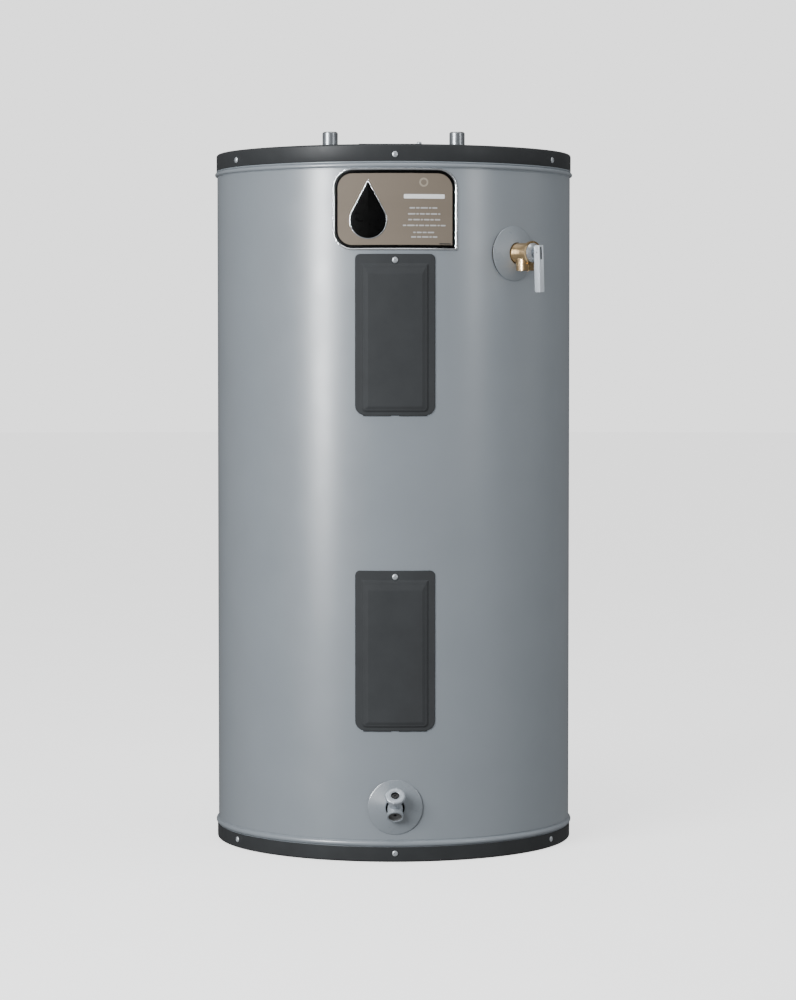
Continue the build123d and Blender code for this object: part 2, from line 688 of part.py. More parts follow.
with BuildPart() as relief_bonnet:
    rod(RELIEF, 44, BONNET_SEAT + 1, 12.3)
    rod(RELIEF, BONNET_SEAT + 0.1, BONNET_SEAT + 1.5, 16)
    rod(RELIEF, BONNET_SEAT + 1.5, BONNET_SEAT + 4.0, 16, taper=55)
    rod(RELIEF, 43, 48, 10.5, Mode.SUBTRACT)
    rod(RELIEF, 43, 60, STEM_RADIUS + 0.06, Mode.SUBTRACT)
finish(relief_bonnet, "relief_bonnet")

with BuildPart() as relief_stem:
    rod(RELIEF, 23, PIN_REACH + 3.4, STEM_RADIUS)
    cross = Plane(RELIEF.origin + RELIEF.z_dir * PIN_REACH, z_dir=RELIEF.x_dir)
    rod(cross, -6, 6, 1.5, Mode.SUBTRACT)
finish(relief_stem, "relief_stem")

with BuildPart() as relief_seat_disc:
    rod(RELIEF, 18.6, 22.5, 9.5)
    rod(RELIEF, 22, 26, 5)
    rod(RELIEF, 22.9, 27, STEM_RADIUS, Mode.SUBTRACT)
finish(relief_seat_disc, "relief_seat_disc")

SPRING_START, SPRING_END, SPRING_TURNS = 22.7, 47.8, 6
SPRING_RADIUS, SPRING_WIRE = 7.5, 0.9


def coil_spring(length):
    """Helical spring of round wire along Z, standing on the XY plane."""
    span = length - 2 * SPRING_WIRE
    with BuildPart(mode=Mode.PRIVATE) as spring:
        with BuildLine(Plane.XY.offset(SPRING_WIRE)) as coil:
            Helix(span / SPRING_TURNS, span, SPRING_RADIUS)
        with BuildSketch(Plane(origin=coil.line @ 0, z_dir=coil.line % 0)) as wire:
            Circle(SPRING_WIRE)
        sweep(wire.sketch, path=coil.line, is_frenet=True)
    return spring.part


with BuildPart() as relief_spring:
    with Locations(RELIEF.offset(SPRING_START)):
        add(coil_spring(SPRING_END - SPRING_START))
finish(relief_spring, "relief_spring")

with BuildPart() as relief_lever_pin:
    rod(cross, -LEVER_HALF - 1.2, LEVER_HALF + 1.2, 1.5)
finish(relief_lever_pin, "relief_lever_pin")

with BuildPart() as relief_lever:
    # channel section: a web outside and two flanges towards the valve
    sideways = Plane(origin=RELIEF.origin, x_dir=RELIEF.z_dir, z_dir=-RELIEF.x_dir)
    with BuildSketch(sideways.offset(-LEVER_HALF)) as flange:
        with BuildLine() as edge:
            Polyline(
                (LEVER_BACK, LEVER_BOTTOM + 3),
                (LEVER_BACK + 3, LEVER_BOTTOM),
                (LEVER_FRONT, LEVER_BOTTOM),
                (LEVER_FRONT, LEVER_TOP),
                (LEVER_BACK + 3.5, LEVER_TOP),
                (LEVER_BACK, LEVER_TOP - 3.5),
                close=True,
            )
        make_face(edge.edges())
    extrude(flange.sketch, amount=2 * LEVER_HALF)
    lever_face = Plane(origin=RELIEF.origin, x_dir=RELIEF.x_dir, z_dir=RELIEF.z_dir)
    inside = 2 * (LEVER_HALF - LEVER_WALL)
    block(lever_face, LEVER_BACK - 1, LEVER_FRONT - LEVER_WALL, inside, 200, mode=Mode.SUBTRACT)
    block(lever_face, LEVER_FRONT - 2, LEVER_FRONT + 1, 5.8, 22, (0, -1), 2, Mode.SUBTRACT)
    rod(cross, -9, 9, 1.55, Mode.SUBTRACT)
    fillet(relief_lever.edges().filter_by(Axis.Z).sort_by(lambda e: e.center().dot(RELIEF.z_dir))[-2:], 0.8)
finish(relief_lever, "relief_lever")

with BuildPart() as relief_probe:
    rod(RELIEF, SHANK_FOOT - 130, SHANK_FOOT + 20, 4.5)
    rod(RELIEF, SHANK_FOOT + 12, SHANK_FOOT + 20, 7.4)
finish(relief_probe, "relief_probe")

# ---------------------------------------------------------------- drain valve
DRAIN = radial_plane(0, DRAIN_HEIGHT)
DRAIN_CENTRE_REACH = 16.0
NECK_RADIUS = 11.8
HOSE_RADIUS = 13.4  # 3/4 inch garden hose thread
HOSE_END = 17.6
HOSE_START = 10.4
HANDLE_TOP = 36.0
WASHER_FOOT = -4.9

drain_centre = DRAIN.origin + DRAIN.z_dir * DRAIN_CENTRE_REACH
HANDLE = Plane(origin=drain_centre, x_dir=(1, 0, 0), z_dir=(0, -1, 1))
SPOUT = Plane(origin=drain_centre, x_dir=(1, 0, 0), z_dir=(0, -1, -1))

with BuildPart() as drain_valve_body:
    rod(DRAIN, SHANK_FOOT, -32, PIPE_RADIUS)
    rod(DRAIN, -32, DRAIN_CENTRE_REACH, NECK_RADIUS)
    with Locations(drain_centre):
        Sphere(12.6)
    rod(HANDLE, 0, 20, 10)
    rod(SPOUT, 0, HOSE_START, 12.2)
    rod(SPOUT, HOSE_START, HOSE_END, HOSE_RADIUS)
    rod(DRAIN, SHANK_FOOT - 1, 9, 5, Mode.SUBTRACT)
    rod(HANDLE, -11, -5, 3.6, Mode.SUBTRACT)
    rod(HANDLE, -5, 21, 7.5, Mode.SUBTRACT)
    rod(SPOUT, 0, HOSE_END + 1, 7.5, Mode.SUBTRACT)
    rod(SPOUT, HOSE_END - 4.5, HOSE_END + 1, 11.2, Mode.SUBTRACT)
finish(drain_valve_body, "drain_valve_body")

with BuildPart() as drain_bonnet:
    rod(HANDLE, 12, 20.2, 7.3)
    hex_bar(HANDLE, 20.1, 26, 19)
    rod(HANDLE, 11, 27, 3.56, Mode.SUBTRACT)
finish(drain_bonnet, "drain_bonnet")

with BuildPart() as drain_washer:
    rod(HANDLE, WASHER_FOOT, WASHER_FOOT + 3, 6.6)
finish(drain_washer, "drain_washer")

with BuildPart() as drain_stem:
    rod(HANDLE, WASHER_FOOT + 3.02, HANDLE_TOP - 4, 3.5)
finish(drain_stem, "drain_stem")

WHEEL_RADIUS = 15.8
with BuildPart() as drain_handwheel:
    rod(HANDLE, 29, HANDLE_TOP, WHEEL_RADIUS)
    rim = drain_handwheel.edges().filter_by(GeomType.CIRCLE).filter_by(lambda e: e.radius > 15)
    fillet(rim, 1.6)
    rod(HANDLE, 27.2, 29.2, 6.5)
    for turn in range(-8, 352, 90):
        grip = Plane(
            origin=drain_centre
            + HANDLE.x_dir * (WHEEL_RADIUS * cos(radians(turn)))
            + HANDLE.y_dir * (WHEEL_RADIUS * sin(radians(turn))),
            x_dir=HANDLE.x_dir,
            z_dir=HANDLE.z_dir,
        )
        rod(grip, 30.4, HANDLE_TOP - 1.4, 1.5)
    rod(HANDLE, HANDLE_TOP - 3.6, HANDLE_TOP + 1, 7, Mode.SUBTRACT)
    rod(HANDLE, 26, HANDLE_TOP, 3.53, Mode.SUBTRACT)
finish(drain_handwheel, "drain_handwheel")

with BuildPart() as drain_handwheel_screw:
    rod(HANDLE, HANDLE_TOP - 3.58, HANDLE_TOP - 1.4, 4.4)
    cross_recess(HANDLE, HANDLE_TOP - 1.4, 1.4, 4.6)
finish(drain_handwheel_screw, "drain_handwheel_screw")


# ---------------------------------------------------------------- heating elements
def heating_element(height):
    """Screw-in element: hexagonal head, threaded boss and a hairpin sheath."""
    front = radial_plane(0, height, 0)
    with BuildPart() as piece:
        hex_bar(front, ELEMENT_SPUD_FACE + 1.6, ELEMENT_SPUD_FACE + 9, 38)
        rod(front, 246, ELEMENT_SPUD_FACE + 2, ELEMENT_THREAD_RADIUS)
        half = ELEMENT_LEG_SPACING / 2
        back = 250 - ELEMENT_REACH
        with BuildLine() as hairpin:
            Line((half, -250, height), (half, -back, height))
            ThreePointArc((half, -back, height), (0, -back + half, height), (-half, -back, height))
            Line((-half, -back, height), (-half, -250, height))
        with BuildSketch(Plane(origin=(half, -250, height), z_dir=(0, 1, 0))) as bar:
            Circle(4)
        sweep(bar.sketch, path=hairpin.line)
    return piece


for level, height in ELEMENT_HEIGHTS.items():
    finish(heating_element(height), f"{level}_element")

with BuildPart() as element_gaskets:
    for height in ELEMENT_HEIGHTS.values():
        front = radial_plane(0, height, 0)
        rod(front, ELEMENT_SPUD_FACE + 0.05, ELEMENT_SPUD_FACE + 1.55, 21)
        rod(front, ELEMENT_SPUD_FACE - 1, ELEMENT_SPUD_FACE + 3, 16.8, Mode.SUBTRACT)
finish(element_gaskets, "element_gaskets")

BLOCK_FACE = ELEMENT_SPUD_FACE + 12.5
with BuildPart() as element_terminal_blocks:
    for height in ELEMENT_HEIGHTS.values():
        front = radial_plane(0, height, 0)
        block(front, ELEMENT_SPUD_FACE + 9.1, BLOCK_FACE, 30, 15, corner=3)
finish(element_terminal_blocks, "element_terminal_blocks")

# ---------------------------------------------------------------- thermostats
UPPER_STAT_HEIGHT = 893.0
UPPER_STAT_LENGTH = 112.0
LOWER_STAT_HEIGHT = 376.0
LOWER_STAT_LENGTH = 58.0
STAT_WIDTH = 56.0
RESET_HEIGHT = UPPER_STAT_HEIGHT + 32
DIAL_OFFSET = {"upper": UPPER_STAT_HEIGHT - 32, "lower": LOWER_STAT_HEIGHT - 4}
DIAL_RADIUS = 9.0


def thermostat(height, length, dial_height, reset_height=None):
    """Phenolic switch block held on the tank wall, with a pocket for each control."""
    with BuildPart() as piece:
        block(FRONT, THERMOSTAT_BACK, THERMOSTAT_FRONT - 4, STAT_WIDTH, length, (0, height), 3)
        block(FRONT, THERMOSTAT_FRONT - 4, THERMOSTAT_FRONT, 30, length, (0, height), 3)
        rod(radial_plane(0, dial_height, 0), THERMOSTAT_FRONT - 6, THERMOSTAT_FRONT + 1, 2.6, Mode.SUBTRACT)
        if reset_height:
            place = radial_plane(0, reset_height, 0)
            rod(place, THERMOSTAT_FRONT - 6, THERMOSTAT_FRONT + 1, 5.1, Mode.SUBTRACT)
    return piece


finish(
    thermostat(UPPER_STAT_HEIGHT, UPPER_STAT_LENGTH, DIAL_OFFSET["upper"], RESET_HEIGHT),
    "upper_thermostat",
)
finish(thermostat(LOWER_STAT_HEIGHT, LOWER_STAT_LENGTH, DIAL_OFFSET["lower"]), "lower_thermostat")

with BuildPart() as reset_button:
    rod(radial_plane(0, RESET_HEIGHT, 0), THERMOSTAT_FRONT - 3.4, THERMOSTAT_FRONT + 2.4, 5.0)
    chamfer(reset_button.faces().sort_by(Axis.Y)[0].edges(), 0.8)
finish(reset_button, "reset_button")

for level, dial_height in DIAL_OFFSET.items():
    with BuildPart() as dial:
        place = radial_plane(0, dial_height, 0)
        rod(place, THERMOSTAT_FRONT - 5.6, THERMOSTAT_FRONT + 1, 2.55)
        rod(place, THERMOSTAT_FRONT + 0.3, THERMOSTAT_FRONT + 2.4, DIAL_RADIUS)
        block(place, THERMOSTAT_FRONT + 1.2, THERMOSTAT_FRONT + 3, 1.6, 8, mode=Mode.SUBTRACT)
    finish(dial, f"{level}_temperature_dial")

BRACKETS = ((UPPER_STAT_HEIGHT + 4, 14), (LOWER_STAT_HEIGHT + 10, 8))
with BuildPart() as thermostat_brackets:
    # spring straps that press each block against the tank and end in two feet
    for height, width in BRACKETS:
        strap = STAT_WIDTH + 16
        block(FRONT, THERMOSTAT_FRONT + 0.1, THERMOSTAT_FRONT + 1.1, strap, width, (0, height))
        for x in (-1, 1):
            arm_x = x * (STAT_WIDTH / 2 + 7)
            block(FRONT, 249, THERMOSTAT_FRONT + 1.1, 1.2, width, (arm_x, height))
    keep_between(TANK_RADIUS + 0.1, 400, 0, BODY_HEIGHT)
finish(thermostat_brackets, "thermostat_brackets")

TERMINAL_X = 21.5
TERMINALS = [
    (x * TERMINAL_X, height, THERMOSTAT_FRONT - 4)
    for x in (-1, 1)
    for height in (
        UPPER_STAT_HEIGHT + 46,
        UPPER_STAT_HEIGHT + 22,
        UPPER_STAT_HEIGHT - 46,
        LOWER_STAT_HEIGHT + 20,
        LOWER_STAT_HEIGHT - 20,
    )
] + [(x * 9.5, height, BLOCK_FACE) for x in (-1, 1) for height in ELEMENT_HEIGHTS.values()]

with BuildPart() as terminal_screws:
    for x, height, face in TERMINALS:
        place = Plane(origin=(x, -face, height), x_dir=(1, 0, 0), z_dir=(0, -1, 0))
        rod(place, 0.05, 2.0, 3.4)
        block(place, 1.2, 3, 7.5, 1.0, mode=Mode.SUBTRACT)
finish(terminal_screws, "terminal_screws")

# ---------------------------------------------------------------- junction box
with BuildPart() as junction_box:
    block(Plane.XY, BOX_FLOOR, BOX_TOP, BOX_WIDTH, BOX_LENGTH, BOX_CENTRE, 3)
    inner_width = BOX_WIDTH - 2 * SHEET
    inner_length = BOX_LENGTH - 2 * SHEET
    block(
        Plane.XY, BOX_FLOOR + SHEET, BOX_TOP + 1, inner_width, inner_length, BOX_CENTRE, 2, Mode.SUBTRACT
    )
    conduit_height = BOX_FLOOR + 14
    rod(Plane((0, 0, conduit_height), z_dir=(0, -1, 0)), 210, 230, 8.4, Mode.SUBTRACT)
finish(junction_box, "junction_box")

COVER_TOP = CAP_FACE + COVER_RISE
COVER_FLANGE = 1.4

with BuildPart() as junction_box_cover:
    block(Plane.XY, CAP_FACE + 0.1, COVER_TOP, COVER_WIDTH, COVER_LENGTH, HATCH, 5)
    chamfer(junction_box_cover.faces().sort_by(Axis.Z)[-1].edges(), 2.5)
    inner = (COVER_WIDTH - 2 * COVER_FLANGE, COVER_LENGTH - 2 * COVER_FLANGE)
    block(Plane.XY, CAP_FACE - 1, COVER_TOP - 2.6, *inner, HATCH, 4, Mode.SUBTRACT)
    inner = (inner[0] - 3, inner[1] - 3)
    block(Plane.XY, CAP_FACE - 1, COVER_TOP - SHEET, *inner, HATCH, 3, Mode.SUBTRACT)
    for place in COVER_SCREWS:
        rod(Plane((*place, 0)), COVER_TOP - 5, COVER_TOP + 1, 2.1, Mode.SUBTRACT)
finish(junction_box_cover, "junction_box_cover")

with BuildPart() as junction_cover_screws:
    for place in COVER_SCREWS:
        pan_screw(Plane((*place, COVER_TOP + 0.05)), 4.2, 4.2, 2.0, 14)
finish(junction_cover_screws, "junction_cover_screws")

with BuildPart() as ground_screw:
    place = Plane((-50, BOX_CENTRE[1] + 25, BOX_FLOOR + SHEET + 0.05))
    rod(place, 0, 1.0, 5)
    hex_bar(place, 1.0, 4.5, 7)
    block(place, 3.4, 5, 9, 1.1, mode=Mode.SUBTRACT)
finish(ground_screw, "ground_screw")

# ---------------------------------------------------------------- conduits and leads
CONDUIT_RADIUS, CONDUIT_BORE = 8.0, 6.6
CONDUIT_BEND = 30.0
SUPPLY_Y = -280.0
SIDE_LANE = (41.0, -278.0)
BAY_LIP = 3.0  # how far each conduit stands into a bay
UPPER_BAY = (PANEL_CENTRES["upper"] - BAY_HEIGHT / 2, PANEL_CENTRES["upper"] + BAY_HEIGHT / 2)
LOWER_BAY_TOP = PANEL_CENTRES["lower"] + BAY_HEIGHT / 2
SUPPLY_CONDUIT = (
    (0, -213, conduit_height),
    (0, SUPPLY_Y, conduit_height),
    (0, SUPPLY_Y, UPPER_BAY[1] - BAY_LIP),
)
SIDE_CONDUIT = (LOWER_BAY_TOP - BAY_LIP, UPPER_BAY[0] + BAY_LIP)


def side_conduits(radius, mode=Mode.ADD):
    """Two straight conduits from the upper bay down to the lower one."""
    for side in (-1, 1):
        rod(Plane((side * SIDE_LANE[0], SIDE_LANE[1], 0)), *SIDE_CONDUIT, radius, mode)


with BuildPart() as wire_conduits:
    tube_along(SUPPLY_CONDUIT, [CONDUIT_BEND], CONDUIT_RADIUS, CONDUIT_BORE)
    side_conduits(CONDUIT_RADIUS)
    for side in (-1, 1):
        lane = Plane((side * SIDE_LANE[0], SIDE_LANE[1], 0))
        rod(lane, SIDE_CONDUIT[0] - 1, SIDE_CONDUIT[1] + 1, CONDUIT_BORE, Mode.SUBTRACT)
finish(wire_conduits, "wire_conduits")

LEAD_RADIUS = 1.9
LAND_Y = -(THERMOSTAT_FRONT - 4 + LEAD_RADIUS + 0.15)  # a lead lying on a thermostat's side land
ELEMENT_Y = -(BLOCK_FACE + LEAD_RADIUS + 0.15)
SCREW_GAP = 3.6  # from a terminal's centre to the end of its lead


def lead_routes(side):
    """Routes of the leads on one side; side is -1 for the black ones and 1 for the red ones."""
    land = side * TERMINAL_X
    post = side * 9.5
    lane = side * SIDE_LANE[0]
    yield (
        (side * 3, -150, conduit_height),
        (side * 3, SUPPLY_Y, conduit_height),
        (side * 3, SUPPLY_Y, 975),
        (land, LAND_Y, 960),
        (land, LAND_Y, UPPER_STAT_HEIGHT + 46 + SCREW_GAP),
    )
    yield (
        (side * (TERMINAL_X + SCREW_GAP), LAND_Y, UPPER_STAT_HEIGHT + 22),
        (lane, SIDE_LANE[1], UPPER_STAT_HEIGHT + 18),
        (lane, SIDE_LANE[1], LOWER_STAT_HEIGHT + 58),
        (land, LAND_Y, LOWER_STAT_HEIGHT + 38),
        (land, LAND_Y, LOWER_STAT_HEIGHT + 20 + SCREW_GAP),
    )
    stat_feet = {"upper": UPPER_STAT_HEIGHT - 46, "lower": LOWER_STAT_HEIGHT - 20}
    for level, foot in stat_feet.items():
        height = ELEMENT_HEIGHTS[level]
        yield (
            (land, LAND_Y, foot - SCREW_GAP),
            (land, LAND_Y, foot - 20),
            (post, ELEMENT_Y, height + 22),
            (post, ELEMENT_Y, height + SCREW_GAP),
        )


def bend_radii(points):
    """Radius of each corner: as large as its two runs allow, up to the conduit's bend."""
    spots = [Vector(*point) for point in points]
    radii = []
    for before, corner, after in zip(spots, spots[1:], spots[2:]):
        into, out = corner - before, after - corner
        shorter = min(into.length, out.length)
        turn = radians(into.get_angle(out))
        radii.append(min(CONDUIT_BEND, 0.45 * shorter / tan(turn / 2)))
    return radii


for name, side in (("black_leads", -1), ("red_leads", 1)):
    with BuildPart() as leads:
        for route in lead_routes(side):
            bends = bend_radii(route)
            print(name, "bend radii", [round(bend, 1) for bend in bends])
            tube_along(route, bends, LEAD_RADIUS)
    finish(leads, name)

# ---------------------------------------------------------------- foam
FOAM_LOW, FOAM_STEP, FOAM_HIGH = TANK_FOOT, 1136.0, CAP_FACE - SHEET - SLIP
CLEAR = 0.3
with BuildPart() as foam_insulation:
    spin(
        (
            (0, FOAM_LOW),
            (FOAM_RADIUS, FOAM_LOW),
            (FOAM_RADIUS, FOAM_STEP),
            (290, FOAM_STEP),
            (290, FOAM_HIGH - 3),
            (270, FOAM_HIGH - 3),
            (270, FOAM_HIGH),
            (0, FOAM_HIGH),
        )
    )
    # the space that the tank fills
    with BuildSketch(FRONT) as tank_space:
        with BuildLine() as edge:
            Line((0, FOAM_LOW - 1), (TANK_RADIUS + CLEAR, FOAM_LOW - 1))
            Line((TANK_RADIUS + CLEAR, FOAM_LOW - 1), (TANK_RADIUS + CLEAR, TANK_SHOULDER + CLEAR))
            spherical_edge(TANK_RADIUS + CLEAR, TANK_SHOULDER + CLEAR, DOME_RISE)
            Line((0, TANK_SHOULDER + CLEAR + DOME_RISE), (0, FOAM_LOW - 1))
        make_face(edge.edges())
    revolve(tank_space.sketch, axis=Axis.Z, mode=Mode.SUBTRACT)
    for x, top in SPUD_TOP.items():
        rod(Plane((x, 0, 0)), 1060, top + CLEAR, SPUD_RADIUS + CLEAR, Mode.SUBTRACT)
        rod(Plane((x, 0, 0)), 1060, 1200, NIPPLE_HOLE, Mode.SUBTRACT)
    rod(Plane((0, ANODE_Y, 0)), 1050, 1200, ANODE_HOLE + 1, Mode.SUBTRACT)
    for angle, height, face in SIDE_SPUDS:
        rod(radial_plane(angle, height, 0), 235, face + CLEAR, SPUD_RADIUS + CLEAR, Mode.SUBTRACT)
        rod(radial_plane(angle, height, 0), 235, 320, NIPPLE_HOLE, Mode.SUBTRACT)
    for middle in PANEL_CENTRES.values():
        block(FRONT, 200, 320, BAY_WIDTH, BAY_HEIGHT, (0, middle), 10, Mode.SUBTRACT)
        screw_height = middle + PANEL_HEIGHT / 2 - PANEL_SCREW_DROP
        rod(radial_plane(0, screw_height), -12, 9, 3.2, Mode.SUBTRACT)
    block(Plane.XY, BOX_FLOOR - CLEAR, 1200, BOX_WIDTH + 1, BOX_LENGTH + 1, BOX_CENTRE, 3, Mode.SUBTRACT)
    tube_along(SUPPLY_CONDUIT, [CONDUIT_BEND], CONDUIT_RADIUS + CLEAR, mode=Mode.SUBTRACT)
    side_conduits(CONDUIT_RADIUS + CLEAR, Mode.SUBTRACT)
finish(foam_insulation, "foam_insulation")
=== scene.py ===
import json
from math import asin, cos, exp, pi, radians, sin, sqrt, tau

import bmesh
import bpy
from mathutils import Matrix, Vector


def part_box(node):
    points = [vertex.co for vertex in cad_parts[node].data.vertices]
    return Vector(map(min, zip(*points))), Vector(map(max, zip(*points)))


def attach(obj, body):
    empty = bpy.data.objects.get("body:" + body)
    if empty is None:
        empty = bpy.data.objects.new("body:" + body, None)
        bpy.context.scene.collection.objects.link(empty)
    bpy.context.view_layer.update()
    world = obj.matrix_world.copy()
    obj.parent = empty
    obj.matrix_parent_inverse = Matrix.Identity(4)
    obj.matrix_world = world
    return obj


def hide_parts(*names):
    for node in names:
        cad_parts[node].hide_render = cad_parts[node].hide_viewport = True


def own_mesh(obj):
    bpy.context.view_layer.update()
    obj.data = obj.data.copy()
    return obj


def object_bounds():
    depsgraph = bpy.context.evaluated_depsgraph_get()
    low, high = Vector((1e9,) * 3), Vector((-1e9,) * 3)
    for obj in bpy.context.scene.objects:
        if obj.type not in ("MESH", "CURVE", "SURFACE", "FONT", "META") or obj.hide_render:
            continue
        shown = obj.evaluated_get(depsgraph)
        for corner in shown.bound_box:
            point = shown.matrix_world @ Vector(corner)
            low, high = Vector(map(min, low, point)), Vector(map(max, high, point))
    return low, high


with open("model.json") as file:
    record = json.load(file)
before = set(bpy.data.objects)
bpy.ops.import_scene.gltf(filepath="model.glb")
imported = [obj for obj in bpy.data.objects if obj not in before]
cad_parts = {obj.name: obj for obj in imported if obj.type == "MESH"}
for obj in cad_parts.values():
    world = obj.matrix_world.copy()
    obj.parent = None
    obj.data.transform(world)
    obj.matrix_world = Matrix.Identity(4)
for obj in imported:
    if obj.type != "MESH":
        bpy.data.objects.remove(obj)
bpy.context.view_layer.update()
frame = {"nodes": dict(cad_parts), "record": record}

# The object's lengths are in millimetres, and make_object turns them into metres.
# The camera, the lights and the floor are in metres.
MM = 0.001
NODES = frame["nodes"]
BODY = "heater"


def node_box(node):
    """Low and high corners of a CAD node."""
    low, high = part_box(node)
    return low / MM, high / MM


# ---------------------------------------------------------------- sizes read from the frame
BEAD_SWELL = 4.0
JACKET_R = node_box("jacket")[1].x - BEAD_SWELL
JACKET_WALL = 0.8
JACKET_LOW, JACKET_TOP = node_box("jacket")[0].z, node_box("jacket")[1].z
CAP_R = node_box("top_cap")[1].x
CAP_LOW, CAP_TOP = node_box("top_cap")[0].z, node_box("top_cap")[1].z
PAN_R = node_box("base_pan")[1].x
PAN_TOP = node_box("base_pan")[1].z
SHEET = 1.2


# ---------------------------------------------------------------- mesh helpers
def link_object(name, data):
    """New object in the scene for a mesh, a light or a camera."""
    thing = bpy.data.objects.new(name, data)
    bpy.context.scene.collection.objects.link(thing)
    return thing


def make_object(name, verts, faces, smooth_angle=35):
    """Mesh object with shaded-smooth faces and sharp edges above an angle."""
    mesh = bpy.data.meshes.new(name)
    mesh.from_pydata([tuple(Vector(v) * MM) for v in verts], [], faces)
    work = bmesh.new()
    work.from_mesh(mesh)
    bmesh.ops.remove_doubles(work, verts=work.verts, dist=1e-6)
    bmesh.ops.recalc_face_normals(work, faces=work.faces)
    work.to_mesh(mesh)
    work.free()
    shade(mesh, smooth_angle)
    return link_object(name, mesh)


def shade(mesh, smooth_angle=35):
    """Smooth shading that keeps edges sharper than the angle."""
    for face in mesh.polygons:
        face.use_smooth = True
    mesh.set_sharp_from_angle(angle=radians(smooth_angle))


def stitch(loops, ring=False):
    """Vertices and faces of successive closed loops; a ring joins the last loop to the first."""
    faces = []
    count = len(loops[0])
    for row in range(len(loops) if ring else len(loops) - 1):
        a, b = row * count, (row + 1) % len(loops) * count
        for i in range(count):
            j = (i + 1) % count
            faces.append((a + i, a + j, b + j, b + i))
    return [v for loop in loops for v in loop], faces


def place_matrix(origin, outward):
    """Frame whose z axis points outward, with x to the right when seen from outside."""
    z = Vector(outward).normalized()
    x = Vector((0, 0, 1)).cross(z).normalized()
    y = z.cross(x)
    turn = Matrix((x, y, z)).transposed().to_4x4()
    return Matrix.Translation(Vector(origin)) @ turn


def radial_place(angle, height, radius=JACKET_R):
    """Place on the jacket: z outward, y up. Angle 0 is the front, positive to the right."""
    turn = radians(angle)
    outward = Vector((sin(turn), -cos(turn), 0))
    return place_matrix(outward * radius + Vector((0, 0, height)), outward)


def lathe(name, profile, place=Matrix(), segments=96, smooth_angle=35, ring=False):
    """Solid of revolution of (radius, height) points about the place's z axis."""
    loops = []
    for radius, height in profile:
        angles = [tau * i / segments for i in range(segments)]
        loops.append([place @ Vector((radius * cos(a), radius * sin(a), height)) for a in angles])
    return make_object(name, *stitch(loops, ring), smooth_angle)


def arc(x, y, radius, start, end, steps=6):
    """Points of a circular arc in a profile, from one angle to another in degrees."""
    turns = [radians(start + (end - start) * i / steps) for i in range(steps + 1)]
    return [(x + radius * cos(turn), y + radius * sin(turn)) for turn in turns]


def circle(radius, count):
    """Points all the way round a circle, the first not repeated."""
    return arc(0, 0, radius, 0, 360 - 360 / count, count - 1)


def prism(name, outline, low, high, place=Matrix()):
    """Straight solid of a convex or simple outline along the place's z axis."""
    verts = [place @ Vector((x, y, height)) for height in (low, high) for x, y in outline]
    count = len(outline)
    faces = [tuple(range(count))[::-1], tuple(range(count, 2 * count))]
    faces += [(i, (i + 1) % count, count + (i + 1) % count, count + i) for i in range(count)]
    return make_object(name, verts, faces)


def apply_modifiers(thing):
    """Make the modified shape the thing's own mesh."""
    bpy.context.view_layer.update()
    graph = bpy.context.evaluated_depsgraph_get()
    changed = bpy.data.meshes.new_from_object(thing.evaluated_get(graph))
    thing.modifiers.clear()
    thing.data = changed


def cut(thing, *cutters):
    """Boolean difference, applied, after which the cutters are gone."""
    for cutter in cutters:
        change = thing.modifiers.new("cut", "BOOLEAN")
        change.operation = "DIFFERENCE"
        change.solver = "EXACT"
        change.object = cutter
        apply_modifiers(thing)
        bpy.data.objects.remove(cutter)
    shade(thing.data)


def bar(radius, low, high, place=Matrix(), segments=64):
    """Plain round cutter along the place's z axis."""
    return lathe("cutter", [(0, low), (radius, low), (radius, high), (0, high)], place, segments)


def object_from(name, work):
    """Object made of a finished bmesh, which is used up."""
    mesh = bpy.data.meshes.new(name)
    work.to_mesh(mesh)
    work.free()
    shade(mesh)
    return link_object(name, mesh)


def join(name, things):
    """Several objects as one piece."""
    work = bmesh.new()
    for thing in things:
        work.from_mesh(thing.data)
        bpy.data.objects.remove(thing)
    return object_from(name, work)


def copies(name, master, places):
    """One piece made of a copy of the master at every place; the master is used up."""
    work = bmesh.new()
    for place in places:
        mesh = master.data.copy()
        moved = place.copy()
        moved.translation *= MM
        mesh.transform(moved)
        work.from_mesh(mesh)
        bpy.data.meshes.remove(mesh)
    bpy.data.objects.remove(master)
    return object_from(name, work)


def finish_piece(thing, slot, replaces=(), body=BODY, material=None):
    """Give a new piece its material, by default its slot's finish, and its body, and hide the nodes
    it stands for.
    """
    thing.data.materials.clear()
    thing.data.materials.append(material or FINISHES[slot])
    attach(thing, body)
    if replaces:
        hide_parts(*replaces)


# ---------------------------------------------------------------- outlines laid on the jacket
ACROSS = 16
CORNER_STEPS = 8


def rounded_outline(half_width, low, high, radii, centre=0.0):
    """Outline of (x, z) points with corner radii given from the lower left, anticlockwise."""
    lower_left, lower_right, upper_right, upper_left = radii
    left, right = centre - half_width, centre + half_width
    corners = (
        arc(left + lower_left, low + lower_left, lower_left, 180, 270, CORNER_STEPS),
        arc(right - lower_right, low + lower_right, lower_right, 270, 360, CORNER_STEPS),
        arc(right - upper_right, high - upper_right, upper_right, 0, 90, CORNER_STEPS),
        arc(left + upper_left, high - upper_left, upper_left, 90, 180, CORNER_STEPS),
    )
    points = []
    for i, corner in enumerate(corners):
        points += corner
        if i % 2 == 0:
            start, end = Vector(corner[-1]), Vector(corners[i + 1][0])
            points += [tuple(start.lerp(end, step / ACROSS)) for step in range(1, ACROSS)]
    return points


def wrap(outline, level):
    """Outline of (x, z) points laid on the jacket at a height above it."""
    radius = JACKET_R + level
    return [Vector((x, -sqrt(radius * radius - x * x), z)) for x, z in outline]


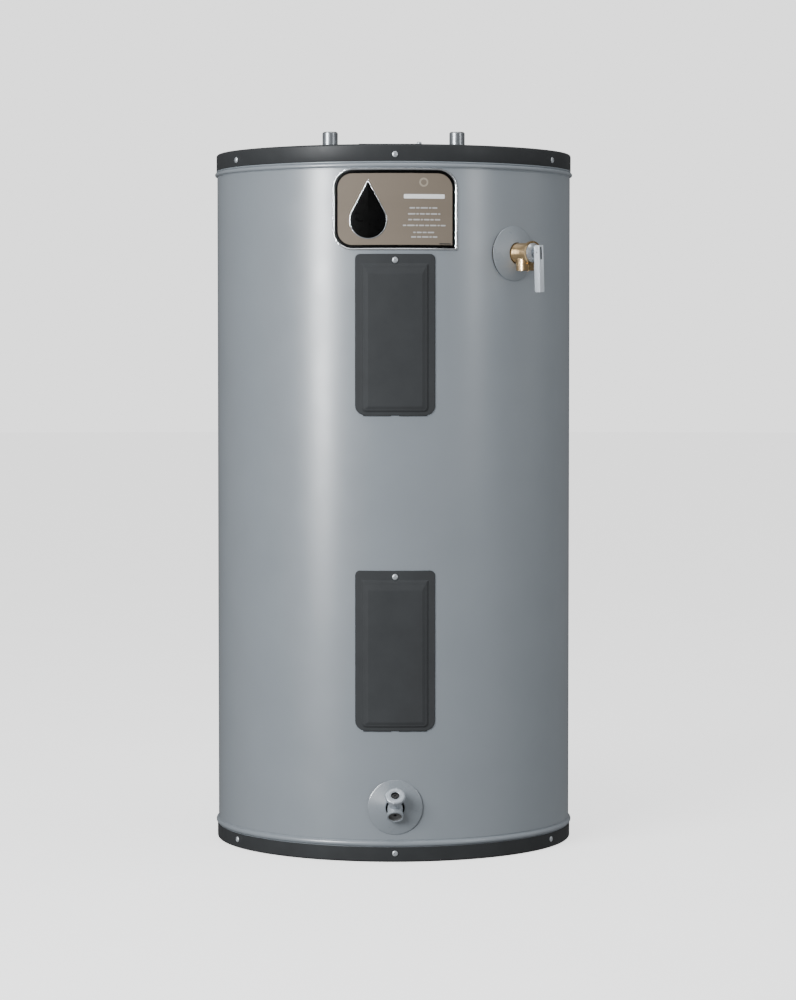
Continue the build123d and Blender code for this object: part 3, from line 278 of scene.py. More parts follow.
def fill_outline(offset):
    """Upright strips that close a loop whose corners have no radius."""
    bottom = offset + CORNER_STEPS
    top = offset + 3 * CORNER_STEPS + ACROSS + 1
    return [
        (bottom + i, bottom + i + 1, top + ACROSS - i - 1, top + ACROSS - i) for i in range(ACROSS)
    ]


def curved_plate(name, loops, close_ends=True, smooth_angle=35):
    """Solid from loops that follow the jacket; the first and last loops have square corners."""
    verts, faces = stitch(loops, ring=not close_ends)
    if close_ends:
        faces += fill_outline(0) + fill_outline((len(loops) - 1) * len(loops[0]))
    return make_object(name, verts, faces, smooth_angle)


# ---------------------------------------------------------------- materials
def add_node(tree, kind, **inputs):
    """Shader node with its inputs set by name."""
    made = tree.nodes.new(kind)
    for name, value in inputs.items():
        made.inputs[name.replace("_", " ")].default_value = value
    return made


def noise(tree, coordinates, scale, detail=3.0, rough=0.5, stretch=(1, 1, 1)):
    """Noise texture in the row's own metres; scale is in features per metre."""
    mapping = add_node(tree, "ShaderNodeMapping", Scale=stretch)
    tree.links.new(coordinates, mapping.inputs["Vector"])
    texture = add_node(tree, "ShaderNodeTexNoise", Scale=scale, Detail=detail, Roughness=rough)
    tree.links.new(mapping.outputs["Vector"], texture.inputs["Vector"])
    return texture.outputs["Fac"]


def spread(tree, value, low, high, start=0.3, end=0.7):
    """Map a noise value to a range."""
    mapped = tree.nodes.new("ShaderNodeMapRange")
    for name, number in zip(("From Min", "From Max", "To Min", "To Max"), (start, end, low, high)):
        mapped.inputs[name].default_value = number
    tree.links.new(value, mapped.inputs["Value"])
    return mapped.outputs["Result"]


def blend_tones(tree, value, first, second):
    """Colour between two tones."""
    mix = tree.nodes.new("ShaderNodeMix")
    mix.data_type = "RGBA"
    mix.inputs["A"].default_value = (*first, 1)
    mix.inputs["B"].default_value = (*second, 1)
    tree.links.new(value, mix.inputs["Factor"])
    return mix.outputs["Result"]


def surface(
    name,
    tone,
    tone_2,
    roughness=(0.35, 0.45),
    metallic=0.0,
    mottle=60.0,
    grain=1500.0,
    relief=0.02,
    stretch=(1, 1, 1),
    coat=0.0,
    coat_roughness=0.1,
    wave=0.0,
    wave_scale=6.0,
    specular=0.5,
):
    """Procedural finish: two mottled tones, a fine grain in relief and an uneven gloss.

    relief and wave are the heights of the grain and of the slow ripples, in millimetres.
    """
    material = bpy.data.materials.new(name)
    material.use_nodes = True
    tree = material.node_tree
    shader = tree.nodes["Principled BSDF"]
    shader.inputs["Metallic"].default_value = metallic
    shader.inputs["Specular IOR Level"].default_value = specular
    shader.inputs["Coat Weight"].default_value = coat
    shader.inputs["Coat Roughness"].default_value = coat_roughness
    place = tree.nodes.new("ShaderNodeTexCoord").outputs["Object"]
    mottled = spread(tree, noise(tree, place, mottle, 4.0, 0.55, stretch), 0, 1)
    tree.links.new(blend_tones(tree, mottled, tone, tone_2), shader.inputs["Base Color"])
    gloss = spread(tree, noise(tree, place, mottle * 2.3, 3.0, 0.5, stretch), *roughness)
    tree.links.new(gloss, shader.inputs["Roughness"])
    bump = add_node(tree, "ShaderNodeBump", Strength=1.0, Distance=relief * MM)
    tree.links.new(noise(tree, place, grain, 2.0, 0.5, stretch), bump.inputs["Height"])
    if wave:
        slow = add_node(tree, "ShaderNodeBump", Strength=1.0, Distance=wave * MM)
        tree.links.new(noise(tree, place, wave_scale, 1.0, 0.4), slow.inputs["Height"])
        tree.links.new(slow.outputs["Normal"], bump.inputs["Normal"])
    tree.links.new(bump.outputs["Normal"], shader.inputs["Normal"])
    return material


def grey(level, blue=0.0):
    """Neutral tone with a touch of blue."""
    return (level * (1 - blue), level, level * (1 + blue))


# name, two tones, roughness, metal, mottle and grain per metre, and the grain's height
FINISHES = {
    "jacket_paint": surface(
        "jacket_paint", grey(0.30, 0.10), grey(0.315, 0.10), (0.30, 0.36), 0.0, 9, 700, 0.010,
        coat=0.35, coat_roughness=0.26, wave=0.12, wave_scale=5.0,
    ),
    "cap_paint": surface(
        "cap_paint", grey(0.043, 0.05), grey(0.049, 0.05), (0.40, 0.46), 0.0, 30, 1400, 0.02,
        specular=0.12,
    ),
    "panel_paint": surface(
        "panel_paint", grey(0.054, 0.05), grey(0.060, 0.05), (0.50, 0.56), 0.0, 25, 1300, 0.015,
        specular=0.03,
    ),
    "zinc_steel": surface(
        "zinc_steel", grey(0.58, 0.05), grey(0.66, 0.05), (0.34, 0.44), 0.45, 400, 2500, 0.008
    ),
    "tank_steel": surface(
        "tank_steel", (0.02, 0.022, 0.03), (0.04, 0.04, 0.05), (0.5, 0.7), 0.2, 20, 500, 0.08
    ),
    "pipe_steel": surface(
        "pipe_steel", grey(0.32, 0.06), grey(0.37, 0.06), (0.30, 0.36), 0.7, 60, 1200, 0.003
    ),
    "chrome_trim": surface(
        "chrome_trim", grey(0.74, 0.03), grey(0.78, 0.03), (0.12, 0.17), 0.8, 80, 2200, 0.001
    ),
    "badge_face": surface(
        "badge_face", (0.221, 0.185, 0.147), (0.235, 0.197, 0.157), (0.50, 0.58), 0.0, 20, 3000,
        0.006, stretch=(0.08, 1, 1), specular=0.05,
    ),
    "emblem_black": surface(
        "emblem_black", (0.002, 0.002, 0.002), (0.003, 0.003, 0.003), (0.26, 0.34), 0.0, 50, 900,
        0.002, specular=0.06,
    ),
    "ring_paint": surface(
        "ring_paint", grey(0.29, 0.10), grey(0.31, 0.10), (0.26, 0.32), 0.0, 15, 900, 0.006,
        coat=0.8, coat_roughness=0.16,
    ),
    "brass": surface(
        "brass", (0.60, 0.41, 0.21), (0.68, 0.48, 0.26), (0.18, 0.26), 0.9, 50, 1800, 0.008
    ),
    "satin_nickel": surface(
        "satin_nickel", grey(0.43, 0.09), grey(0.49, 0.09), (0.34, 0.42), 0.3, 80, 1500, 0.012
    ),
    "spring_steel": surface(
        "spring_steel", (0.30, 0.31, 0.33), (0.40, 0.41, 0.43), (0.3, 0.45), 1.0, 90, 1800, 0.01
    ),
    "plain_steel": surface(
        "plain_steel", grey(0.66, 0.05), grey(0.72, 0.05), (0.24, 0.30), 0.7, 60, 1500, 0.003
    ),
    "rubber": surface("rubber", (0.010, 0.010, 0.010), (0.02, 0.02, 0.02), (0.7, 0.85), 0, 90, 900),
    "blue_plastic": surface(
        "blue_plastic", (0.012, 0.05, 0.22), (0.02, 0.07, 0.28), (0.35, 0.45), 0.0, 60, 1200, 0.02
    ),
    "red_plastic": surface(
        "red_plastic", (0.30, 0.01, 0.008), (0.38, 0.02, 0.012), (0.35, 0.45), 0.0, 60, 1200, 0.02
    ),
    "pale_plastic": surface(
        "pale_plastic", (0.60, 0.59, 0.54), (0.66, 0.65, 0.60), (0.4, 0.5), 0.0, 60, 1000, 0.02
    ),
    "dark_plastic": surface(
        "dark_plastic", (0.010, 0.010, 0.011), (0.018, 0.018, 0.019), (0.4, 0.55), 0.0, 60, 900, 0.03
    ),
    "magnesium": surface(
        "magnesium", (0.28, 0.28, 0.27), (0.38, 0.38, 0.36), (0.45, 0.6), 0.8, 70, 600, 0.06
    ),
    "foam": surface(
        "foam", (0.62, 0.44, 0.17), (0.74, 0.58, 0.28), (0.8, 0.95), 0.0, 120, 420, 0.6
    ),
    "wool": surface(
        "wool", (0.66, 0.56, 0.24), (0.82, 0.74, 0.42), (0.9, 1.0), 0.0, 300, 900, 0.8,
        stretch=(0.25, 1, 1),
    ),
    "support_board": surface(
        "support_board", (0.20, 0.13, 0.07), (0.28, 0.19, 0.11), (0.8, 0.9), 0.0, 150, 600, 0.2
    ),
    "sheath": surface(
        "sheath", (0.42, 0.36, 0.30), (0.54, 0.47, 0.40), (0.3, 0.45), 1.0, 120, 900, 0.02
    ),
    "black_wire": surface(
        "black_wire", (0.008, 0.008, 0.008), (0.014, 0.014, 0.014), (0.35, 0.45), 0.0, 90, 900
    ),
    "red_wire": surface(
        "red_wire", (0.36, 0.012, 0.008), (0.44, 0.02, 0.012), (0.35, 0.45), 0.0, 90, 900
    ),
    "conduit_plastic": surface(
        "conduit_plastic", grey(0.10), grey(0.13), (0.45, 0.55), 0.0, 90, 900, 0.03
    ),
    "ground_green": surface(
        "ground_green", (0.02, 0.18, 0.05), (0.03, 0.24, 0.07), (0.25, 0.4), 0.9, 200, 2000, 0.01
    ),
}

for part in frame["record"]["subparts"]:
    materials = NODES[part["node"]].data.materials
    materials.clear()
    materials.append(FINISHES[part["material_slot"]])


# ---------------------------------------------------------------- jacket
def bead(middle, half, swell, steps=10):
    """Half-round bead of the jacket's profile, from below to above."""
    turns = [pi * i / steps for i in range(steps + 1)]
    return [(JACKET_R + swell * sin(turn), middle - half * cos(turn)) for turn in turns]


def crease(height, depth=0.6, half=0.7):
    """Fine rolled groove beside a bead."""
    steps = ((0, -half), (depth, -half * 0.5), (depth, half * 0.5), (0, half))
    return [(JACKET_R - drop, height + rise) for drop, rise in steps]


BASE_BEAD, BASE_BEAD_HALF = 30.4, 4.3
TOP_BEAD, TOP_BEAD_HALF = 1145.8, 3.6
RIDGE, RIDGE_HALF, RIDGE_SWELL = TOP_BEAD + 5.4, 1.3, 1.4
BASE_CREASE, TOP_CREASE = 36.2, 1140.6
PANEL_HALF, PANEL_TALL = 65.7, 264.0
PANEL_SCREW_DROP = 10.2
PANEL_MIDDLES = {
    level: node_box(f"{level}_panel")[1].z - PANEL_TALL / 2 for level in ("upper", "lower")
}
BAY_HALF_WIDTH, BAY_HALF_TALL, BAY_CORNER = 52, 116, 10
BAY_CUT_BACK, BAY_CUT_FRONT = 270, 330
RELIEF = radial_place(40.2, 1004.0)
DRAIN = radial_place(0, 91.0)
SCREW_HOLE_R, DRAIN_HOLE_R, RELIEF_HOLE_R = 2.3, 19, 22
CUT_REACH = 9
LAP_HALF, LAP_LOW, LAP_TOP = 8, 38, 1139


def panel_screw_place(middle, radius=JACKET_R):
    """Place of the screw near an access panel's top edge."""
    return radial_place(0, middle + PANEL_TALL / 2 - PANEL_SCREW_DROP, radius)


outer = [(JACKET_R, JACKET_LOW), (JACKET_R, 24.0), *bead(BASE_BEAD, BASE_BEAD_HALF, BEAD_SWELL)]
outer += [*crease(BASE_CREASE), (JACKET_R, 600), *crease(TOP_CREASE)]
outer += [*bead(TOP_BEAD, TOP_BEAD_HALF, BEAD_SWELL), (JACKET_R - 0.3, TOP_BEAD + 3.9)]
outer += [*bead(RIDGE, RIDGE_HALF, RIDGE_SWELL), (JACKET_R, JACKET_TOP)]
inner = [(JACKET_R - JACKET_WALL, JACKET_TOP), (JACKET_R - JACKET_WALL, JACKET_LOW)]
shell = lathe("jacket_shell", outer + inner, segments=360, ring=True)
FRONT_PLACE = place_matrix((0, 0, 0), (0, -1, 0))
for middle in PANEL_MIDDLES.values():
    low, high = middle - BAY_HALF_TALL, middle + BAY_HALF_TALL
    bay = rounded_outline(BAY_HALF_WIDTH, low, high, (BAY_CORNER,) * 4)
    cut(shell, prism("cutter", bay, BAY_CUT_BACK, BAY_CUT_FRONT, FRONT_PLACE))
    cut(shell, bar(SCREW_HOLE_R, -CUT_REACH, CUT_REACH, panel_screw_place(middle)))
cut(shell, bar(DRAIN_HOLE_R, -CUT_REACH, CUT_REACH, DRAIN))
cut(shell, bar(RELIEF_HOLE_R, -CUT_REACH, CUT_REACH, RELIEF))
# the sheet's two ends lap at the back: inset and height of each contour
lap_steps = ((0, -0.2), (0, 0.5), (0.25, 0.75), (0.6, 0.8), (7, 0.8))
lap_loops = [
    wrap(rounded_outline(LAP_HALF - inset, LAP_LOW + inset, LAP_TOP - inset, (0.3,) * 4), level)
    for inset, level in lap_steps
]
lap = make_object("lap", *stitch(lap_loops))
lap.data.transform(Matrix.Rotation(pi, 4, "Z"))
finish_piece(join("jacket_skin", [shell, lap]), "jacket_paint", ["jacket"])


# ---------------------------------------------------------------- top cap and base pan
CAP_DIP = 2.5
cap_profile = [
    (CAP_R - 0.9, CAP_LOW + 0.1),
    (CAP_R - 0.3, CAP_LOW),
    (CAP_R, CAP_LOW + 0.5),
    *arc(CAP_R - 4, CAP_TOP - 4, 4, 0, 90),
    (286.5, CAP_TOP),
    (284.5, CAP_TOP - 0.3),
    (280.5, CAP_TOP - 2.2),
    (278.5, CAP_TOP - CAP_DIP),
    (252.0, CAP_TOP - CAP_DIP),
    (250.5, CAP_TOP - 1.8),
    (247.0, CAP_TOP - 1.8),
    (245.5, CAP_TOP - CAP_DIP),
    (0, CAP_TOP - CAP_DIP),
    (0, CAP_TOP - CAP_DIP - SHEET),
    (278.0, CAP_TOP - CAP_DIP - SHEET),
    (284.0, CAP_TOP - SHEET),
    *arc(CAP_R - 4, CAP_TOP - 4, 2.9, 90, 0),
    (CAP_R - 1.1, CAP_LOW + 0.4),
]
cap = lathe("cap_shell", cap_profile, segments=360, ring=True)
NIPPLE_X = node_box("hot_outlet_nipple")[0].x / 2 + node_box("hot_outlet_nipple")[1].x / 2
NIPPLE_HOLE_R = 19
# x, y and radius of the round holes for the nipples, the anode and the cable
CAP_HOLES = (
    (-NIPPLE_X, 0, NIPPLE_HOLE_R),
    (NIPPLE_X, 0, NIPPLE_HOLE_R),
    (0, 150, 22),
    (62, -173, 11.1),
)
HATCH_X, HATCH_Y = -8.0, -173.0
HATCH_HALF_WIDTH, HATCH_HALF_DEEP, HATCH_CORNER = 42, 39, 4
for x, y, radius in CAP_HOLES:
    cut(cap, bar(radius, CAP_TOP - CUT_REACH, CAP_TOP + CUT_REACH, Matrix.Translation((x, y, 0))))
hatch_outline = rounded_outline(
    HATCH_HALF_WIDTH, -HATCH_HALF_DEEP, HATCH_HALF_DEEP, (HATCH_CORNER,) * 4
)
hatch = [(x + HATCH_X, y + HATCH_Y) for x, y in hatch_outline]
cut(cap, prism("cutter", hatch, CAP_TOP - CUT_REACH, CAP_TOP + CUT_REACH))
finish_piece(cap, "cap_paint", ["top_cap"])

pan_profile = [
    (0, 0),
    *arc(PAN_R - 3.4, 3.4, 3.4, -90, 0),
    (PAN_R, PAN_TOP - 0.5),
    (PAN_R - 0.4, PAN_TOP),
    (PAN_R - 0.9, PAN_TOP - 0.1),
    (PAN_R - SHEET, PAN_TOP - 0.6),
    *arc(PAN_R - 3.4, 3.4, 2.2, 0, -90),
    (0, SHEET),
]
pan = lathe("pan_shell", pan_profile, segments=360, ring=True)
finish_piece(pan, "cap_paint", ["base_pan"])


# ---------------------------------------------------------------- screws
def screw_master(radius, height, shank):
    """Pan-head screw with a rounded crown and a cross recess, head standing on z = 0."""
    profile = [
        (0, -shank),
        (1.9, -shank),
        (1.9, 0),
        (radius * 0.94, 0),
        (radius, height * 0.14),
        (radius * 0.97, height * 0.42),
        (radius * 0.86, height * 0.70),
        (radius * 0.64, height * 0.90),
        (radius * 0.36, height * 0.985),
        (0, height),
    ]
    head = lathe("screw", profile, segments=40, smooth_angle=50)
    wide, narrow = radius * 0.56, radius * 0.13
    for half_x, half_y in ((wide, narrow), (narrow, wide)):
        slot = [(-half_x, -half_y), (half_x, -half_y), (half_x, half_y), (-half_x, half_y)]
        cut(head, prism("cutter", slot, height * 0.35, height + 1))
    return head


def screw_piece(name, places, size, node, body=BODY):
    """All the screws of one node; size is the head's radius and height and the shank's length."""
    screws = copies(name, screw_master(*size), places)
    finish_piece(screws, "zinc_steel", [node], body)


def turned(place, angle):
    """The same place turned about its own axis by an angle in degrees."""
    return place @ Matrix.Rotation(radians(angle), 4, "Z")


RIM_SCREW, PANEL_SCREW, HATCH_SCREW = (4.8, 2.4, 8), (4.9, 2.6, 10), (4.2, 4.2, 14)
RIM_SCREW_STEP = 37
CAP_SCREW_HEIGHT, PAN_SCREW_HEIGHT = 1163.4, 14.6
SIXTHS = range(0, 360, 60)
for name, height, radius in (
    ("top_cap", CAP_SCREW_HEIGHT, CAP_R),
    ("base_pan", PAN_SCREW_HEIGHT, PAN_R),
):
    ring_places = [
        turned(radial_place(angle, height, radius + 0.1), RIM_SCREW_STEP * i)
        for i, angle in enumerate(SIXTHS)
    ]
    screw_piece(f"{name}_rim_screws", ring_places, RIM_SCREW, f"{name}_screws")
for level, middle in PANEL_MIDDLES.items():
    place = turned(panel_screw_place(middle, JACKET_R + 2.5), 4)
    screw_piece(
        f"{level}_cover_screw", [place], PANEL_SCREW, f"{level}_panel_screw", f"{level}_panel_group"
    )
COVER_TOP = node_box("junction_box_cover")[1].z
HATCH_SCREW_SPOTS = ((41, -205), (-57, -141))
hatch_places = [Matrix.Translation((x, y, COVER_TOP + 0.05)) for x, y in HATCH_SCREW_SPOTS]
screw_piece(
    "hatch_screws", hatch_places, HATCH_SCREW, "junction_cover_screws", "junction_cover_group"
)

# ---------------------------------------------------------------- access panels
# side inset, top inset, bottom inset, top and bottom corner radii, height above the jacket
PANEL_FACE = (
    (0.0, 0.0, 0.0, 8.0, 16.0, 0.35),
    (0.0, 0.0, 0.0, 8.0, 16.0, 1.6),
    (0.3, 0.3, 0.3, 7.7, 15.7, 2.15),
    (0.9, 0.9, 0.9, 7.1, 15.1, 2.4),
    (1.5, 1.5, 1.4, 6.6, 14.6, 2.41),
    (9.2, 14.6, 4.1, 2.0, 8.7, 2.41),
    (10.0, 15.4, 4.6, 1.5, 8.0, 2.42),
    (10.7, 16.0, 5.2, 1.2, 7.4, 2.65),
    (11.1, 16.4, 5.55, 1.1, 7.0, 2.98),
    (13.0, 18.4, 7.3, 0.9, 5.4, 4.44),
    (13.4, 18.8, 7.6, 0.8, 5.0, 4.75),
    (14.2, 19.6, 8.2, 0.6, 4.4, 5.0),
    (15.6, 22.8, 9.4, 0.5, 3.6, 5.0),
    (16.3, 23.5, 10.0, 0.5, 3.0, 5.2),
    (20.2, 31.2, 13.6, 0.4, 1.2, 7.35),
    (21.2, 32.6, 14.6, 0.3, 0.9, 7.6),
    (22.4, 34.0, 16.0, 0.0, 0.0, 7.62),
)
PANEL_WALL = 1.4
PANEL_ANGLE = 22
PANEL_SCREW_HOLE_R = 2.4
BACK_SHIFT = 0.5
# centre, half width and drop below the edge of the tongue's two halves and of its middle
TONGUES = ((-29.5, 23, 1.6), (29.5, 23, 1.6), (0, 6.5, 0.5))
# inset, height above the jacket and corner radius of a tongue's contours
TONGUE_STEPS = ((1.2, 0.35, 0), (0, 0.35, 0.5), (0, 1.5, 0.5), (0.3, 1.8, 0.5), (1.2, 1.8, 0))


def panel_loop(middle, side, top, bottom, top_radius, bottom_radius, level):
    """One contour of the stamped panel."""
    low = middle - PANEL_TALL / 2 + bottom
    high = middle + PANEL_TALL / 2 - top
    radii = (bottom_radius, bottom_radius, top_radius, top_radius)
    return wrap(rounded_outline(PANEL_HALF - side, low, high, radii), level)


def panel_skin(middle):
    """Stamped sheet: the outer face, a rolled edge and the same form one sheet further in."""
    face = [panel_loop(middle, *row) for row in PANEL_FACE]
    back = []
    for side, top, bottom, top_radius, bottom_radius, level in PANEL_FACE[3:][::-1]:
        insets = [inset + BACK_SHIFT for inset in (side, top, bottom)]
        radii = [max(radius - BACK_SHIFT, 0) for radius in (top_radius, bottom_radius)]
        back.append(panel_loop(middle, *insets, *radii, level - PANEL_WALL))
    inner = (PANEL_WALL, PANEL_WALL, PANEL_WALL, 6.6, 14.6)
    back.append(panel_loop(middle, *inner, 1.0))
    back.append(panel_loop(middle, *inner, 0.35))
    back.append(face[0])
    verts, faces = stitch(face)
    step = len(verts)
    back_verts, back_faces = stitch(back)
    verts += back_verts
    faces += [tuple(step + i for i in polygon) for polygon in back_faces]
    faces += fill_outline((len(face) - 1) * len(face[0])) + fill_outline(step)
    return make_object("panel_skin", verts, faces, PANEL_ANGLE)


def hook_tab(middle):
    """Tongue below the panel's edge, notched in its middle."""
    bottom = middle - PANEL_TALL / 2
    parts = []
    for centre, half, drop in TONGUES:
        loops = []
        for inset, level, radius in TONGUE_STEPS:
            low, high = bottom - drop + inset, bottom + 3 - inset
            outline = rounded_outline(half - inset, low, high, (radius,) * 4, centre)
            loops.append(wrap(outline, level))
        parts.append(curved_plate("tab", loops))
    return parts


for level, middle in PANEL_MIDDLES.items():
    skin = panel_skin(middle)
    cut(skin, bar(PANEL_SCREW_HOLE_R, -CUT_REACH, CUT_REACH, panel_screw_place(middle)))
    cover = join(f"{level}_cover", [skin, *hook_tab(middle)])
    shade(cover.data, PANEL_ANGLE)
    finish_piece(cover, "panel_paint", [f"{level}_panel"], f"{level}_panel_group")

# ---------------------------------------------------------------- badge
BADGE_HALF = node_box("badge_frame")[1].x
BADGE_LOW, BADGE_HIGH = node_box("badge_frame")[0].z, node_box("badge_frame")[1].z
BADGE_CORNER = 32.0


def badge_loop(inset, level, square=False):
    """Contour of the badge: three round corners and a sharp one at the lower right."""
    wide = 0.0 if square else BADGE_CORNER - inset
    sharp = 0.0 if square else max(1.6 - inset * 0.1, 0.6)
    radii = (wide, sharp, wide, wide)
    outline = rounded_outline(BADGE_HALF - inset, BADGE_LOW + inset, BADGE_HIGH - inset, radii)
    return wrap(outline, level)


# inset and height above the jacket of each contour of the frame's bright rim, band and lip; the black
# band and lip are a painted reflection of a dark surround in the chrome
RIM_STEPS = (
    (0, 0.15), (0, 1.6), (0.3, 2.1), (0.9, 2.5), (1.6, 2.52), (2.4, 2.1), (3.3, 1.3), (3.3, 0.15)
)
REFLECTION_BAND_STEPS = (
    (3.3, 0.15), (3.3, 1.2), (3.8, 1.75), (4.6, 1.9), (6.4, 1.9), (7.1, 1.6), (7.3, 1.1), (7.3, 0.15)
)
REFLECTION_LIP_STEPS = ((7.3, 0.15), (7.3, 1.25), (7.6, 1.6), (8.1, 1.6), (8.4, 1.3), (8.4, 0.15))
# black band and lip: painted dark reflection in the chrome bezel
for name, steps, slot in (
    ("badge_rim", RIM_STEPS, "chrome_trim"),
    ("badge_reflection_band", REFLECTION_BAND_STEPS, "emblem_black"),
    ("badge_reflection_lip", REFLECTION_LIP_STEPS, "emblem_black"),
):
    strip = curved_plate(name, [badge_loop(*step) for step in steps], False, 50)
    finish_piece(strip, slot, ["badge_frame"])
FIELD_STEPS = ((30, 0.15, True), (8.2, 0.15), (8.2, 1.2), (30, 1.2, True))
field = curved_plate("badge_field", [badge_loop(*step) for step in FIELD_STEPS])
finish_piece(field, "badge_face", ["badge_plate"])


def printed_bar(name, centre, height, half_width, half_height, material):
    """Thin raised strip on the badge's face."""
    radius = half_height * 0.5
    loops = []
    for inset, corner, level in ((0.3, 0, 1.1), (0, radius, 1.15), (0, radius, 1.32), (0.3, 0, 1.34)):
        low, high = height - half_height + inset, height + half_height - inset
        outline = rounded_outline(half_width - inset, low, high, (corner,) * 4, centre)
        loops.append(wrap(outline, level))
    finish_piece(curved_plate(name, loops), "badge_face", ["badge_plate"], material=material)


def print_ink(name, tone, tone_2):
    """Matt printing ink."""
    return surface(name, tone, tone_2, (0.45, 0.55), 0.0, 90, 1800, 0.004)


WHITE_PRINT = print_ink("white_print", grey(0.95), grey(0.98))
PALE_PRINT = print_ink("pale_print", grey(0.50), grey(0.56))
DARK_PRINT = print_ink("dark_print", grey(0.02), grey(0.03))
TAN_PRINT = print_ink("tan_print", (0.38, 0.33, 0.26), (0.41, 0.35, 0.28))
PRINT_X = 47.8
# centre, height, half width and half height of the two plain stripes
NAME_STRIPE = (PRINT_X, 1094.9, 33.5, 3.6)
CODE_STRIPE = (82.0, 1017.7, 9.4, 0.9)
DASHES = (9.0, 5.5, 12.0, 4.0, 8.0, 6.5, 10.5, 3.5)
DASH_GAP, DASH_HALF = 1.7, 1.15
# height, half width and place in the row of dash lengths of each printed line
PRINT_LINES = (
    (1076.1, 24.0, 0),
    (1066.3, 26.6, 2),
    (1056.9, 26.2, 5),
    (1047.5, 35.0, 1),
    (1036.1, 18.0, 3),
    (1028.7, 21.5, 4),
)
ICON, ICON_SIDES = (47.0, 1118.0), 60
ICON_STEPS = ((7.4, 1.1), (7.4, 1.3), (4.6, 1.3), (4.6, 1.1))
icon_loops = [
    wrap([(ICON[0] + x, ICON[1] + y) for x, y in circle(radius, ICON_SIDES)], level)
    for radius, level in ICON_STEPS
]
icon = make_object("ring_icon", *stitch(icon_loops, ring=True))
finish_piece(icon, "badge_face", ["badge_plate"], material=TAN_PRINT)
printed_bar("name_stripe", *NAME_STRIPE, WHITE_PRINT)
printed_bar("code_stripe", *CODE_STRIPE, DARK_PRINT)
for row, (height, half, first) in enumerate(PRINT_LINES):
    left, count = PRINT_X - half, 0
    while left < PRINT_X + half - 2:
        wide = min(DASHES[(first + count) % len(DASHES)], PRINT_X + half - left)
        spot = (left + wide / 2, height, wide / 2, DASH_HALF)
        printed_bar(f"line_{row}_dash_{count}", *spot, PALE_PRINT)
        left += wide + DASH_GAP
        count += 1


TIP_R, TIP_DROP = 0.55, 1.4


def drop_outline(centre, height, radius, tip, grow=0.0):
    """Water drop: a round foot whose two flanks meet at a tip."""
    reach = radius + grow
    point = tip + grow * tip / radius
    touch = asin(reach / point)
    start, end = 180 - touch * 180 / pi, 360 + touch * 180 / pi
    foot = arc(centre, height, reach, start, end, 60)
    peak = [(centre + x, height + point - TIP_DROP + y) for x, y in arc(0, 0, TIP_R, 10, 170, 6)]
    return foot + peak


def drop_solid(name, levels, slot):
    """Raised drop; levels are pairs of growth and height above the jacket."""
    loops = [wrap(drop_outline(*EMBLEM, grow), level) for grow, level in levels]
    verts, faces = stitch(loops)
    count = len(loops[0])
    for row in (0, len(loops) - 1):
        verts += wrap([EMBLEM[:2]], levels[row][1])
        first, hub = row * count, len(verts) - 1
        faces += [(first + i, first + (i + 1) % count, hub) for i in range(count)]
    finish_piece(make_object(name, verts, faces, 50), slot, ["badge_emblem"])


EMBLEM_LOW, EMBLEM_HIGH = node_box("badge_emblem")
EMBLEM_RADIUS = (EMBLEM_HIGH.x - EMBLEM_LOW.x) / 2
EMBLEM = (
    (EMBLEM_LOW.x + EMBLEM_HIGH.x) / 2,
    EMBLEM_LOW.z + EMBLEM_RADIUS,
    EMBLEM_RADIUS,
    EMBLEM_HIGH.z - EMBLEM_LOW.z - EMBLEM_RADIUS,
)
BORDER_STEPS = ((0, 1.1), (0, 1.7), (-0.4, 2.05), (-1.2, 2.1), (-1.8, 1.6))
DROP_STEPS = ((-1.7, 1.5), (-1.7, 2.2), (-2.1, 2.5), (-2.8, 2.55))
drop_solid("drop_border", BORDER_STEPS, "chrome_trim")
drop_solid("drop_face", DROP_STEPS, "emblem_black")

# ---------------------------------------------------------------- trim rings
RING_R, RING_RISE = 45.5, 11.0
RING_SIDES = 144
RELIEF_RING_HOLE, DRAIN_RING_HOLE = 17.8, 15.6


def trim_ring(name, place, hole):
    """Dished ring with a flat rim that stands off the jacket at its two sides."""
    outside = (
        (RING_R - 0.5, 0.15),
        (RING_R, 0.5),
        (RING_R - 0.25, 1.0),
        (RING_R - 0.9, 1.5),
        (RING_R - 2.0, 1.95),
        (hole + 3.2, RING_RISE - 0.75),
        (hole + 1.6, RING_RISE - 0.1),
        (hole + 0.7, RING_RISE),
        (hole, RING_RISE - 0.5),
        (hole, RING_RISE - 1.6),
        (hole + 2.4, RING_RISE - 2.0),
        (RING_R - 2.6, 0.6),
        (RING_R - 1.6, 0.15),
    )
    thing = lathe(name, outside, place, segments=RING_SIDES, smooth_angle=30, ring=True)
    finish_piece(thing, "ring_paint", [name.replace("_dish", "_trim_ring")])


def ring_shadow_filler(name, place):
    """Black ring in the gap between a ring's flat rim and the round jacket: painted shadow of the gap
    under the rim.
    """
    loops = []
    for inset, top in ((0.5, False), (0.5, True), (1.5, True), (1.5, False)):
        points = []
        for x, y in circle(RING_R - inset, RING_SIDES):
            jacket_level = sqrt(JACKET_R**2 - x * x) - JACKET_R + 0.1
            points.append(place @ Vector((x, y, 0.14 if top else jacket_level)))
        loops.append(points)
    finish_piece(make_object(name, *stitch(loops, ring=True), smooth_angle=30), "rubber")


trim_ring("relief_dish", RELIEF, RELIEF_RING_HOLE)
trim_ring("drain_dish", DRAIN, DRAIN_RING_HOLE)
# black rings under the rims: painted shadow where the rims stand off the jacket
ring_shadow_filler("relief_shadow_filler", RELIEF)
ring_shadow_filler("drain_shadow_filler", DRAIN)

